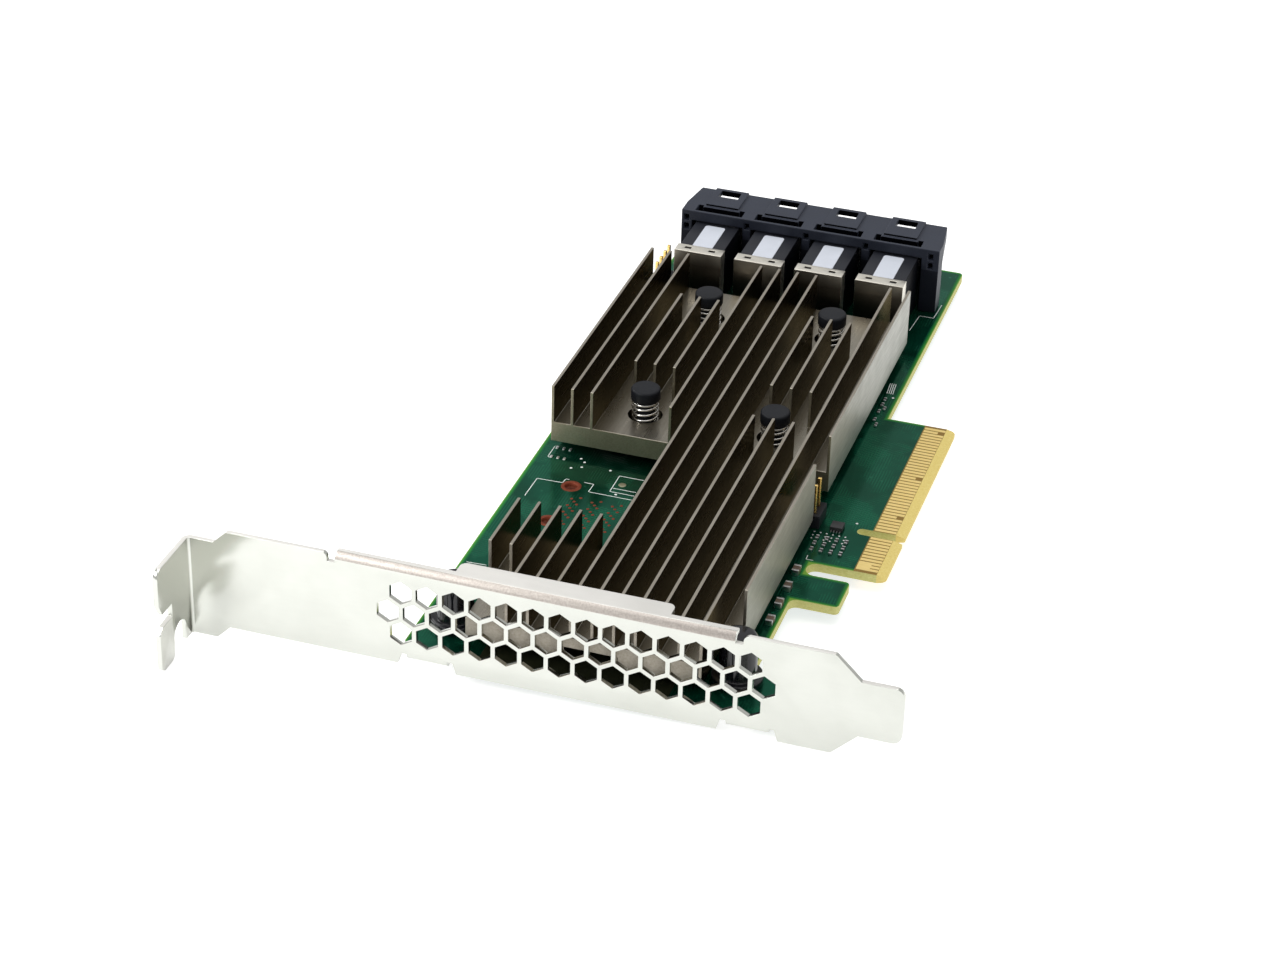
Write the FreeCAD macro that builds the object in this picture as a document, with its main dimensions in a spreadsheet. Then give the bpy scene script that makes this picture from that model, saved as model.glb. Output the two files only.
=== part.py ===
import FreeCAD, Part
import os
import Sketcher
from types import SimpleNamespace

# Storage host bus adapter: a low-profile card on a full-height vented bracket, with a finned heat sink
# held by spring push pins and four board-edge ports at the rear.
#
# X is the way the card plugs in, Y runs along the card away from the bracket and Z leaves the component
# side. The origin is on the component face, at the mouth of the key slot in the card edge, so the board
# lies below zero and the fingers' outer edge lies on X = 0. All sizes are millimetres.

DIMENSIONS = {
    # circuit board
    "board_thickness": 1.57,
    "board_height": 68.9,
    "board_margin": 7.6,
    "board_gap": 0.3,
    "board_corner": 1.0,
    "tongue_depth": 12.7,
    "tongue_short_side": 11.65,
    "tongue_long_side": 38.65,
    "tongue_corner": 0.8,
    "key_width": 1.9,
    "key_depth": 8.25,
    "key_round": 0.9,
    "bevel_length": 1.6,
    "bevel_rise": 0.42,
    "retention_slot_width": 3.8,
    "retention_slot_depth": 13.4,
    "retention_slot_round": 1.8,
    "hook_width": 8.1,
    "hook_tip": 5.2,
    "hook_corner": 0.9,
    "hook_root_round": 1.5,
    "front_ear_length": 12.4,
    "front_ear_tip": 6.0,
    "spare_hole_diameter": 2.4,
    "spare_hole_edge": 9.6,
    "spare_hole_front": -15.3,
    "spare_hole_spacing": 12.2,
    # card-edge fingers
    "finger_pitch": 1.0,
    "finger_width": 0.7,
    "finger_thickness": 0.05,
    "finger_start": 1.7,
    "finger_end": 5.5,
    "finger_from_key": 1.5,
    "short_finger_start": 2.9,
    "power_pad_start": 3.2,
    # bracket
    "bracket_setback": 59.9,
    "bracket_sheet": 0.86,
    "bracket_width": 18.42,
    "bracket_bottom": 3.28,
    "bracket_length": 120.02,
    "bracket_tip": 14.2,
    "taper_start": 11.13,
    "taper_end": 6.95,
    "foot_tongue_width": 10.19,
    "foot_tongue_corner": 1.6,
    "taper_corner": 1.0,
    "neck_length": 5.35,
    "neck_slant": 2.35,
    "neck_drop": 2.35,
    "ear_depth": 11.6,
    "ear_corner": 1.6,
    "screw_slot_width": 4.42,
    "screw_slot_center": 4.45,
    "screw_slot_top": 5.8,
    "ear_finger_drop": 0.95,
    "ear_finger_corner": 1.3,
    "hook_notch_depth": 4.65,
    "hook_notch_height": 2.45,
    "hook_notch_low": 7.35,
    "hook_notch_flare": 2.2,
    "bend_inside": 0.5,
    "flange_left": 80.1,
    "flange_right": 13.1,
    "flange_reach": 2.1,
    "flange_wide_left": 60.1,
    "flange_wide_right": 24.2,
    "flange_wide_reach": 5.0,
    "flange_corner": 1.2,
    "relief_width": 1.3,
    "relief_margin": 0.2,
    "relief_corner": 0.9,
    "tab_width": 7.0,
    "tab_left": 67.9,
    "tab_right": 7.1,
    "tab_relief_width": 0.9,
    "tab_relief_margin": 0.05,
    "tab_relief_flare": 0.6,
    "tab_bend": 0.2,
    "tab_reach": 13.5,
    "tab_side": 4.6,
    "vent_pitch": 4.49,
    "vent_flats": 3.75,
    "vent_long_count": 15,
    "vent_first": 71.05,
    "vent_center": 6.35,
    # bracket rivets
    "rivet_left": 63.0,
    "rivet_right": 15.0,
    "rivet_inset": 8.62,
    "rivet_shank": 3.0,
    "rivet_flange": 8.4,
    "rivet_flange_height": 1.4,
    "rivet_head": 6.2,
    "rivet_head_height": 9.0,
    "rivet_head_round": 1.0,
    "rivet_barb": 4.0,
    "rivet_point": 1.8,
    "rivet_tip": 1.5,
    # heat sink
    "sink_gap": 2.74,
    "sink_length": 122.0,
    "sink_base": 3.9,
    "sink_center": 41.3,
    "fin_count": 15,
    "fin_pitch": 3.62,
    "fin_thickness": 0.55,
    "fin_height": 7.3,
    "corner_column": 2,
    "window_column": 6.5,
    "left_bay_first": 2.5,
    "left_bay_last": 5.5,
    "right_bay_first": 9.5,
    "right_bay_last": 12.5,
    "window_length": 37.7,
    "window_gap": 8.3,
    "corner_cut": 12.3,
    "header_notch_length": 9.95,
    "header_clearance": 0.28,
    "header_room": 1.5,
    "pin_bay_half": 5.6,
    "arch_width": 9.0,
    "arch_center": 37.8,
    "arch_rise": 2.0,
    "arch_depth": 12.0,
    # controller under the heat sink
    "chip_side": 25.0,
    "chip_substrate": 0.95,
    "chip_lid_side": 21.0,
    "chip_lid": 0.65,
    "thermal_pad": 0.2,
    # push pins
    "pin_center_x": 40.0,
    "pin_from_rear": 30.1,
    "pin_spacing_x": 24.0,
    "pin_spacing_y": 39.0,
    "pin_shaft": 3.0,
    "pin_clearance": 0.1,
    "pin_cap": 5.3,
    "pin_cap_height": 2.2,
    "pin_cap_round": 0.5,
    "pin_top": 11.3,
    "pin_barb": 3.7,
    "pin_barb_length": 2.3,
    "pin_point": 1.5,
    "pin_slit": 0.5,
    "pin_seat": 6.2,
    "pin_seat_depth": 2.6,
    "spring_wire": 0.5,
    "spring_diameter": 4.5,
    "spring_turns": 6,
    # ports
    "port_count": 4,
    "port_pitch": 12.0,
    "port_center": 40.8,
    "port_gap": 4.0,
    "housing_width": 8.8,
    "housing_height": 11.0,
    "shell_sheet": 0.3,
    "shell_wrap": 2.8,
    "shell_side_low": 1.5,
    "shell_window_width": 1.3,
    "shell_window_depth": 0.8,
    "shell_window_spacing": 4.8,
    "label_width": 4.0,
    "label_length": 9.6,
    "label_thickness": 0.1,
    "label_corner": 0.6,
    "hood_offset": 13.1,
    "hood_left_reach": 25.3,
    "hood_right_reach": 26.6,
    "hood_depth": 10.9,
    "hood_height": 13.4,
    "hood_wall": 3.6,
    "hood_arch_depth": 2.2,
    "hood_taper": 1.0,
    "port_clearance": 0.1,
    "hood_lintel": 2.0,
    "hood_roof": 0.7,
    "bay_width": 10.4,
    "guide_width": 6.7,
    "guide_rise": 0.4,
    "guide_start": 3.2,
    "latch_window_width": 4.0,
    "latch_window_depth": 2.7,
    "latch_window_inset": 1.0,
    "recess_width": 9.4,
    "recess_depth": 1.9,
    "recess_inset": 0.6,
    "recess_sink": 1.4,
    "recess_tab": 1.0,
    "recess_tab_depth": 0.7,
    "front_pocket_width": 1.0,
    "front_pocket_height": 1.3,
    "front_pocket_depth": 1.2,
    "front_pocket_drop": 1.6,
    "front_pocket_step": 1.9,
    "end_cut_height": 9.6,
    "nose_width": 7.6,
    "nose_height": 6.2,
    "nose_low": 2.4,
    "nose_length": 2.6,
    "slot_width": 6.6,
    "slot_height": 1.3,
    "slot_depth": 4.0,
    "slot_spacing": 2.8,
    "contact_count": 9,
    "contact_pitch": 0.68,
    "contact_width": 0.32,
    "contact_thickness": 0.15,
    # pin headers
    "header_pin": 0.64,
    "header_pitch": 2.54,
    "header_base": 2.5,
    "header_tail": 1.4,
    "header_hole": 1.05,
    "rear_header_pins": 4,
    "rear_header_edge": 2.4,
    "rear_header_gap": 2.9,
    "rear_header_top": 8.5,
    "side_header_pins": 2,
    "side_header_edge": 15.9,
    "side_header_start": -0.6,
    "side_header_top": 8.0,
    # small components
    "flash_side": 2.2,
    "flash_height": 0.75,
    "flash_lift": 0.1,
    "flash_x": 11.7,
    "flash_y": -0.5,
    "flash_lead_count": 4,
    "flash_lead_width": 0.22,
    "flash_lead_pitch": 0.5,
    "flash_lead_reach": 0.6,
    "flash_lead_sheet": 0.16,
    "capacitor_length": 2.0,
    "capacitor_width": 1.25,
    "capacitor_height": 1.1,
    "capacitor_end": 0.45,
    "resistor_length": 1.1,
    "resistor_width": 0.6,
    "resistor_height": 0.4,
    "resistor_end": 0.25,
    "wall_row_edge": 14.6,
    "wall_row_center": -24.6,
    "wall_row_pitch": 5.4,
    "wall_row_count": 4,
    "cluster_edge": 11.6,
    "cluster_center": -6.6,
    "cluster_pitch_x": 1.7,
    "cluster_pitch_y": 2.0,
    "cluster_columns": 4,
    "cluster_rows": 3,
    "back_pitch": 3.2,
    "back_count": 5,
}

document = FreeCAD.newDocument("host_bus_adapter")
sheet = document.addObject("Spreadsheet::Sheet", "sizes")
for row, (alias, value) in enumerate(DIMENSIONS.items(), start=1):
    sheet.set(f"A{row}", alias)
    sheet.set(f"B{row}", str(value))
    sheet.setAlias(f"B{row}", alias)
document.recompute()


class Size:
    """A length that knows its number and the sheet formula that gives it."""

    def __init__(self, number, formula):
        self.number = number
        self.formula = formula

    def __add__(self, other):
        other = as_size(other)
        return Size(self.number + other.number, f"({self.formula} + {other.formula})")

    def __sub__(self, other):
        other = as_size(other)
        return Size(self.number - other.number, f"({self.formula} - {other.formula})")

    def __mul__(self, other):
        other = as_size(other)
        return Size(self.number * other.number, f"({self.formula} * {other.formula})")

    def __truediv__(self, other):
        other = as_size(other)
        return Size(self.number / other.number, f"({self.formula} / {other.formula})")

    def __neg__(self):
        return ZERO - self

    def __float__(self):
        return float(self.number)


def as_size(value):
    """A Size, made from a plain number where needed."""
    return value if isinstance(value, Size) else Size(value, f"{value}")


ZERO = as_size(0)
HALF_ROOT_THREE = 3 ** 0.5 / 2
AXES = "xyz"
NEAR = 1e-4
EVERYWHERE = (float("-inf"), float("inf"))
d = SimpleNamespace(**{alias: Size(value, f"sizes.{alias}") for alias, value in DIMENSIONS.items()})
pieces = []


def keep(piece):
    """Mark a document object as a finished sub-part."""
    pieces.append(piece)
    return piece


def bind(thing, path, size):
    """Tie a property of a document object to the sheet."""
    thing.setExpression(path, as_size(size).formula)


def box(label, x_range, y_range, z_range):
    """Block between two values of each axis."""
    block = document.addObject("Part::Box", label)
    for side, axis, (low, high) in zip(("Length", "Width", "Height"), AXES, (x_range, y_range, z_range)):
        bind(block, side, high - low)
        bind(block, f"Placement.Base.{axis}", low)
    return block


def group(label, members):
    """Several alike solids kept as one sub-part."""
    compound = document.addObject("Part::Compound", label)
    compound.Links = members
    return compound


def around(center, width):
    """The two ends of a width laid evenly about a centre."""
    return (center - width / 2, center + width / 2)


def spread(center, pitch, count_name):
    """Middles of equally spaced copies laid evenly about a centre."""
    count = DIMENSIONS[count_name]
    return [center + pitch * (index - (count - 1) / 2) for index in range(count)]


def polygon(*corners):
    """Closed outline through the corners, each held by its distance from the sketch origin."""
    def draw(sketch):
        first = sketch.GeometryCount
        points = [FreeCAD.Vector(float(u), float(v), 0) for u, v in corners]
        sides = [Part.LineSegment(a, b) for a, b in zip(points, points[1:] + points[:1])]
        sketch.addGeometry(sides, False)
        count = len(corners)
        for side in range(count):
            following = first + (side + 1) % count
            sketch.addConstraint(Sketcher.Constraint("Coincident", first + side, 2, following, 1))
        for side, (u, v) in enumerate(corners):
            hold_point(sketch, first + side, 1, u, v)
    return draw


def rectangle(u_range, v_range):
    """Outline of a rectangle."""
    (u_low, u_high), (v_low, v_high) = u_range, v_range
    return polygon((u_low, v_low), (u_high, v_low), (u_high, v_high), (u_low, v_high))


def circle(u, v, diameter):
    """Outline of a circle."""
    def draw(sketch):
        radius = diameter / 2
        center = FreeCAD.Vector(float(u), float(v), 0)
        index = sketch.addGeometry(Part.Circle(center, FreeCAD.Vector(0, 0, 1), float(radius)), False)
        hold_point(sketch, index, 3, u, v)
        place = sketch.addConstraint(Sketcher.Constraint("Radius", index, float(radius)))
        bind(sketch, f"Constraints[{place}]", radius)
    return draw


def hold_point(sketch, geometry, point, u, v):
    """Hold one point of a sketch by its two distances from the sketch origin."""
    for kind, size in (("DistanceX", as_size(u)), ("DistanceY", as_size(v))):
        place = sketch.addConstraint(Sketcher.Constraint(kind, -1, 1, geometry, point, float(size)))
        bind(sketch, f"Constraints[{place}]", size)


def sketch_at(body, name, plane, level, outlines):
    """Sketch on a level of one of the body's origin planes."""
    sketch = body.newObject("Sketcher::SketchObject", name)
    origin_plane = next(item for item in body.Origin.OriginFeatures if item.Role == plane)
    sketch.AttachmentSupport = [(origin_plane, "")]
    sketch.MapMode = "FlatFace"
    bind(sketch, "AttachmentOffset.Base.z", -level if plane == "XZ_Plane" else level)
    for draw in outlines:
        draw(sketch)
    return sketch


def pad(body, name, plane, span, *outlines):
    """Add the outlines between two levels of a plane; the XZ plane faces towards smaller Y."""
    low, high = (as_size(level) for level in span)
    start = high if plane == "XZ_Plane" else low
    feature = body.newObject("PartDesign::Pad", name)
    feature.Profile = sketch_at(body, f"{name}_outline", plane, start, outlines)
    bind(feature, "Length", high - low)
    document.recompute()
    return feature


def pocket(body, name, plane, span, *outlines):
    """Cut the outlines between two levels of a plane and make sure that they met the solid."""
    low, high = (as_size(level) for level in span)
    start = low if plane == "XZ_Plane" else high
    before = body.Shape.Volume
    feature = body.newObject("PartDesign::Pocket", name)
    feature.Profile = sketch_at(body, f"{name}_outline", plane, start, outlines)
    bind(feature, "Length", high - low)
    document.recompute()
    if body.Shape.Volume >= before:
        raise RuntimeError(f"{body.Label}: {name} cuts nothing")
    return feature


def repeat_along_x(body, feature, name, count, pitch):
    """Repeat a feature at equal steps along X."""
    pattern = body.newObject("PartDesign::LinearPattern", name)
    pattern.Originals = [feature]
    axis = next(item for item in body.Origin.OriginFeatures if item.Role == "X_Axis")
    pattern.Direction = (axis, [""])
    pattern.Mode = "Spacing"
    bind(pattern, "Offset", pitch)
    bind(pattern, "Occurrences", count)
    body.Tip = pattern
    document.recompute()
    return pattern


def edges_at(shape, axis, places, span):
    """Names of the straight edges along an axis, at the given places across it and within a span of it."""
    along = AXES.index(axis)
    across = [index for index in range(3) if index != along]
    wanted = [tuple(float(value) for value in place) for place in places]
    low, high = (float(value) for value in span)
    names = []
    for number, edge in enumerate(shape.Edges, start=1):
        ends = [vertex.Point for vertex in edge.Vertexes]
        if len(ends) != 2 or max(abs(ends[0][index] - ends[1][index]) for index in across) > NEAR:
            continue
        if min(end[along] for end in ends) < low - NEAR or max(end[along] for end in ends) > high + NEAR:
            continue
        place = [ends[0][index] for index in across]
        if any(max(abs(a - b) for a, b in zip(place, point)) < NEAR for point in wanted):
            names.append(f"Edge{number}")
    return names


def fillet(body, name, radius, axis, *places, span=EVERYWHERE):
    """Round the edges along an axis at the given places across it."""
    base = body.Tip
    edges = edges_at(base.Shape, axis, places, span)
    if not edges:
        raise RuntimeError(f"{body.Label}: {name} finds no edge")
    feature = body.newObject("PartDesign::Fillet", name)
    feature.Base = (base, edges)
    bind(feature, "Radius", radius)
    document.recompute()
    return feature


def revolve(body, name, *profile):
    """Turn a closed half profile of radius and height about the body's Z axis."""
    sketch = sketch_at(body, f"{name}_profile", "XZ_Plane", ZERO, [polygon(*profile)])
    feature = body.newObject("PartDesign::Revolution", name)
    feature.Profile = sketch
    feature.ReferenceAxis = (sketch, ["V_Axis"])
    feature.Angle = 360
    document.recompute()
    return feature


def new_body(label, x=None, y=None, z=None):
    """Empty body, placed where its own origin belongs."""
    body = document.addObject("PartDesign::Body", label)
    for axis, size in zip(AXES, (x, y, z)):
        if size is not None:
            bind(body, f"Placement.Base.{axis}", size)
    return body


# Places shared by several pieces
board_left = -d.board_height
board_bottom = -d.board_thickness
bracket_face = -d.bracket_setback
bracket_back = bracket_face + d.bracket_sheet
board_front = bracket_back + d.board_gap
tongue_front = -(d.key_width / 2 + d.tongue_short_side)
tongue_rear = d.key_width / 2 + d.tongue_long_side
hook_rear = tongue_front - d.retention_slot_width
hook_front = hook_rear - d.hook_width
sink_bottom = d.chip_substrate + d.chip_lid + d.thermal_pad
sink_floor = sink_bottom + d.sink_base
sink_top = sink_floor + d.fin_height
sink_front = bracket_back + d.sink_gap
sink_rear = sink_front + d.sink_length
first_fin = -d.sink_center - (d.fin_count - 1) * d.fin_pitch / 2
rivet_y = bracket_back + d.rivet_inset
rivet_places = {"left": -d.rivet_left, "right": -d.rivet_right}
pin_x = around(-d.pin_center_x, d.pin_spacing_x)
chip_y = sink_rear - d.pin_from_rear
pin_y = around(chip_y, d.pin_spacing_y)
pin_places = [(x, y) for y in pin_y for x in pin_x]
window_rear = pin_y[0] - d.window_gap
window_front = window_rear - d.window_length
port_x = spread(-d.port_center, d.port_pitch, "port_count")
port_front = sink_rear + d.port_gap
hood_front = port_front + d.hood_offset
hood_rear = hood_front + d.hood_depth
board_rear = hood_rear + d.board_margin
rear_header_x = board_left + d.rear_header_edge
side_header_x = -d.side_header_edge
rear_header_places = [(rear_header_x, sink_rear + d.rear_header_gap + d.header_pitch * index)
                      for index in range(DIMENSIONS["rear_header_pins"])]
side_header_places = [(side_header_x, d.side_header_start + d.header_pitch * index)
                      for index in range(DIMENSIONS["side_header_pins"])]


def fin_x(column):
    """Middle of a fin column, counted from the left; a half column lies between two fins."""
    return first_fin + d.fin_pitch * column


def build_circuit_board():
    """Board outline with the keyed tongue, the retention hook and the ear behind the bracket."""
    body = new_body("circuit_board")
    edge_x = -d.tongue_depth
    slot_x = -d.retention_slot_depth
    ear_rear = board_front + d.front_ear_length
    ear_x = -d.front_ear_tip
    pad(body, "blank", "XY_Plane", (board_bottom, ZERO), polygon(
        (board_left, board_front),
        (ear_x, board_front),
        (ear_x, ear_rear),
        (slot_x, ear_rear),
        (slot_x, hook_front),
        (-d.hook_tip, hook_front),
        (-d.hook_tip, hook_rear),
        (slot_x, hook_rear),
        (slot_x, tongue_front),
        (ZERO, tongue_front),
        (ZERO, -d.key_width / 2),
        (-d.key_depth, -d.key_width / 2),
        (-d.key_depth, d.key_width / 2),
        (ZERO, d.key_width / 2),
        (ZERO, tongue_rear),
        (edge_x, tongue_rear),
        (edge_x, board_rear),
        (board_left, board_rear),
    ))
    fillet(body, "key_end", d.key_round, "z",
           (-d.key_depth, -d.key_width / 2), (-d.key_depth, d.key_width / 2))
    fillet(body, "retention_slot_end", d.retention_slot_round, "z",
           (slot_x, hook_rear), (slot_x, tongue_front))
    fillet(body, "hook_root", d.hook_root_round, "z", (slot_x, hook_front), (slot_x, ear_rear))
    fillet(body, "hook_corners", d.hook_corner, "z", (-d.hook_tip, hook_front), (-d.hook_tip, hook_rear))
    fillet(body, "tongue_corners", d.tongue_corner, "z", (ZERO, tongue_front), (ZERO, tongue_rear))
    fillet(body, "board_corners", d.board_corner, "z",
           (board_left, board_rear), (edge_x, board_rear), (board_left, board_front),
           (ear_x, board_front), (ear_x, ear_rear))
    bevel_span = (tongue_front - d.bevel_length, tongue_rear + d.bevel_length)
    tip = d.bevel_length / 2
    tip_rise = d.bevel_rise * (d.bevel_length + tip) / d.bevel_length
    pocket(body, "edge_bevel", "XZ_Plane", bevel_span,
           polygon((-d.bevel_length, ZERO), (tip, -tip_rise), (tip, ZERO)),
           polygon((-d.bevel_length, board_bottom), (tip, board_bottom), (tip, board_bottom + tip_rise)))
    drills = [circle(x, y, d.pin_shaft + d.pin_clearance * 2) for x, y in pin_places]
    drills += [circle(x, rivet_y, d.rivet_shank + d.pin_clearance * 2) for x in rivet_places.values()]
    drills += [circle(x, y, d.header_hole) for x, y in rear_header_places + side_header_places]
    spare_x = board_left + d.spare_hole_edge
    drills += [circle(spare_x, d.spare_hole_front + d.spare_hole_spacing * index, d.spare_hole_diameter)
               for index in (0, 1)]
    pocket(body, "drilled_holes", "XY_Plane", (board_bottom, ZERO), *drills)
    keep(body)


def build_fingers(label, z_range, power_pad):
    """Gold fingers on one face of the tongue; the power pad joins the three nearest the bracket."""
    short_side_count = 11
    long_side_count = 38
    power_count = 3
    short_fingers = (16, 30, 47)
    middles = [-d.finger_from_key - d.finger_pitch * (short_side_count - 1 - index)
               for index in range(short_side_count)]
    middles += [d.finger_from_key + d.finger_pitch * index for index in range(long_side_count)]
    members = []
    for number, middle in enumerate(middles):
        outer, inner = d.finger_start, d.finger_end
        if power_pad and number < power_count:
            inner = d.power_pad_start
        if power_pad and number in short_fingers:
            outer = d.short_finger_start
        members.append(box(f"{label}_{number + 1}", (-inner, -outer),
                           around(middle, d.finger_width), z_range))
    if power_pad:
        span = (middles[0] - d.finger_width / 2, middles[power_count - 1] + d.finger_width / 2)
        members.append(box(f"{label}_power", (-d.finger_end, -d.power_pad_start), span, z_range))
    keep(group(label, members))


def build_bracket():
    """Folded sheet bracket: face, dropped neck, slotted ear, top flange, two feet and the hexagon vent."""
    body = new_body("bracket")
    low = -d.bracket_bottom
    high = low + d.bracket_width
    tip = d.bracket_tip
    taper = tip - d.taper_start
    tongue = tip - d.taper_end
    tongue_z = around(low + d.bracket_width / 2, d.foot_tongue_width)
    ear_face = tip - d.bracket_length - d.bracket_sheet
    neck = ear_face + d.neck_length
    wide = neck + d.neck_slant
    ear_low = low - d.neck_drop
    ear_high = high - d.neck_drop
    sheet_span = (bracket_face, bracket_back)
    foot_top = board_bottom
    foot_low = foot_top - d.bracket_sheet
    outside = d.bend_inside + d.bracket_sheet
    relief = outside + d.relief_margin
    tab_outside = d.tab_bend + d.bracket_sheet
    folds = {"left": around(-d.tab_left + d.tab_width / 2, d.tab_width),
             "right": around(-d.tab_right - d.tab_width / 2, d.tab_width)}

    bottom_line = []
    for start, end in (folds["left"], folds["right"]):
        cut_top = foot_low + tab_outside + d.tab_relief_margin
        cut_start = start - d.tab_relief_width
        cut_end = end + d.tab_relief_width
        bottom_line += [
            (cut_start - d.tab_relief_flare, low), (cut_start, cut_top), (start, cut_top),
            (start, foot_low), (end, foot_low),
            (end, cut_top), (cut_end, cut_top), (cut_end + d.tab_relief_flare, low),
        ]
    pad(body, "face", "XZ_Plane", sheet_span, polygon(
        (ear_face, ear_low),
        (neck, ear_low),
        (wide, low),
        *bottom_line,
        (taper, low),
        (tongue, tongue_z[0]),
        (tip, tongue_z[0]),
        (tip, tongue_z[1]),
        (tongue, tongue_z[1]),
        (taper, high),
        (-d.flange_right + d.relief_width, high),
        (-d.flange_right + d.relief_width, high - relief),
        (-d.flange_right, high - relief),
        (-d.flange_right, high),
        (-d.flange_left, high),
        (-d.flange_left, high - relief),
        (-d.flange_left - d.relief_width, high - relief),
        (-d.flange_left - d.relief_width, high),
        (wide, high),
        (neck, ear_high),
        (ear_face, ear_high),
    ))

    ear_edge = bracket_face - d.ear_depth
    slot_y = around(bracket_face - d.screw_slot_center, d.screw_slot_width)
    finger_low = ear_low - d.ear_finger_drop
    notch_y = ear_edge + d.hook_notch_depth
    notch_z = (ear_low + d.hook_notch_low, ear_low + d.hook_notch_low + d.hook_notch_height)
    slot_z = ear_low + d.screw_slot_top - d.screw_slot_width / 2 - d.ear_finger_drop
    ear_span = (ear_face, ear_face + d.bracket_sheet)
    pad(body, "ear", "YZ_Plane", ear_span, polygon(
        (bracket_back, ear_low),
        (bracket_back, ear_high),
        (ear_edge, ear_high),
        (ear_edge, notch_z[1] + d.hook_notch_flare),
        (ear_edge + d.hook_notch_flare / 2, notch_z[1]),
        (notch_y, notch_z[1]),
        (notch_y, notch_z[0]),
        (ear_edge + d.hook_notch_flare / 2, notch_z[0]),
        (ear_edge, notch_z[0] - d.hook_notch_flare / 2),
        (ear_edge, finger_low),
        (slot_y[0], finger_low),
        (slot_y[0], slot_z),
        (slot_y[1], slot_z),
        (slot_y[1], ear_low),
    ))
    pocket(body, "screw_slot_round", "YZ_Plane", ear_span,
           circle(bracket_face - d.screw_slot_center, slot_z, d.screw_slot_width))

    flange_span = (high - d.bracket_sheet, high)
    narrow = bracket_face + d.flange_reach
    reach = bracket_face + d.flange_wide_reach
    pad(body, "top_flange", "XY_Plane", flange_span, polygon(
        (-d.flange_left, bracket_face),
        (-d.flange_right, bracket_face),
        (-d.flange_right, narrow),
        (-d.flange_wide_right, narrow),
        (-d.flange_wide_right, reach),
        (-d.flange_wide_left, reach),
        (-d.flange_wide_left, narrow),
        (-d.flange_left, narrow),
    ))
    for side, (start, end) in folds.items():
        foot_x = around(rivet_places[side], d.tab_side * 2)
        bend_end = bracket_back + d.bend_inside * 2
        foot_end = bracket_face + d.tab_reach
        pad(body, f"{side}_fold", "XY_Plane", (foot_low, foot_top),
            rectangle((start, end), (bracket_face, bend_end)))
        pad(body, f"{side}_foot", "XY_Plane", (foot_low, foot_top),
            rectangle(foot_x, (bend_end, foot_end)))
    pocket(body, "rivet_holes", "XY_Plane", (foot_low, foot_top),
           *[circle(x, rivet_y, d.rivet_shank + d.pin_clearance * 2) for x in rivet_places.values()])

    fillet(body, "ear_bend_outside", outside, "z", (ear_face, bracket_back))
    fillet(body, "ear_bend_inside", d.bend_inside, "z", (ear_face + d.bracket_sheet, bracket_face))
    flange_x = (-d.flange_left, -d.flange_right)
    fillet(body, "flange_bend_outside", outside, "x", (bracket_face, high), span=flange_x)
    fillet(body, "flange_bend_inside", d.bend_inside, "x", (bracket_back, high - d.bracket_sheet))
    fillet(body, "foot_bends_outside", tab_outside, "x", (bracket_face, foot_low))
    fillet(body, "foot_bends_inside", d.tab_bend, "x", (bracket_back, foot_top))
    fillet(body, "relief_corners", d.relief_corner, "y",
           (-d.flange_right + d.relief_width, high), (-d.flange_left - d.relief_width, high))
    fillet(body, "flange_corners", d.flange_corner, "z",
           (-d.flange_wide_right, reach), (-d.flange_wide_left, reach))
    fillet(body, "tongue_corners", d.foot_tongue_corner, "y", (tip, tongue_z[0]), (tip, tongue_z[1]))
    fillet(body, "taper_corners", d.taper_corner, "y", (taper, low), (taper, high))
    fillet(body, "ear_corner", d.ear_corner, "x", (ear_edge, ear_high))
    fillet(body, "ear_finger_corners", d.ear_finger_corner, "x",
           (ear_edge, finger_low), (slot_y[0], finger_low))

    half_flat = d.vent_flats / 2
    corner = half_flat / HALF_ROOT_THREE
    row_step = d.vent_pitch * HALF_ROOT_THREE
    for row, name in ((-1, "lower"), (0, "middle"), (1, "upper")):
        x = -d.vent_first + d.vent_pitch / 2 * abs(row)
        z = d.vent_center + row_step * row
        cut = pocket(body, f"{name}_vent", "XZ_Plane", sheet_span, polygon(
            (x, z + corner),
            (x + half_flat, z + corner / 2),
            (x + half_flat, z - corner / 2),
            (x, z - corner),
            (x - half_flat, z - corner / 2),
            (x - half_flat, z + corner / 2),
        ))
        repeat_along_x(body, cut, f"{name}_vent_row", d.vent_long_count - abs(row), d.vent_pitch)
    keep(body)


def build_rivet(side):
    """Flanged rivet with a tall rounded head that clamps the board to a foot of the bracket."""
    body = new_body(f"bracket_rivet_{side}", rivet_places[side], rivet_y)
    clamp_low = board_bottom - d.bracket_sheet
    flange = d.rivet_flange / 2
    head = d.rivet_head / 2
    shank = d.rivet_shank / 2
    revolve(body, "turned_form",
            (ZERO, clamp_low - d.rivet_tip),
            (d.rivet_point / 2, clamp_low - d.rivet_tip),
            (d.rivet_barb / 2, clamp_low),
            (shank, clamp_low),
            (shank, ZERO),
            (flange, ZERO),
            (flange, d.rivet_flange_height),
            (head, d.rivet_flange_height),
            (head, d.rivet_head_height),
            (ZERO, d.rivet_head_height))
    round_rim(body, "head_rim", d.rivet_head_round, d.rivet_head_height)
    keep(body)


def round_rim(body, name, radius, height):
    """Round the circular edge that lies at the given height of a turned piece."""
    base = body.Tip
    edges = []
    for number, edge in enumerate(base.Shape.Edges, start=1):
        level = isinstance(edge.Curve, Part.Circle) and abs(edge.Curve.Axis.z) > 1 - NEAR
        if level and abs(edge.Curve.Center.z - float(height)) < NEAR:
            edges.append(f"Edge{number}")
    feature = body.newObject("PartDesign::Fillet", name)
    feature.Base = (base, edges)
    bind(feature, "Radius", radius)
    document.recompute()


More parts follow.
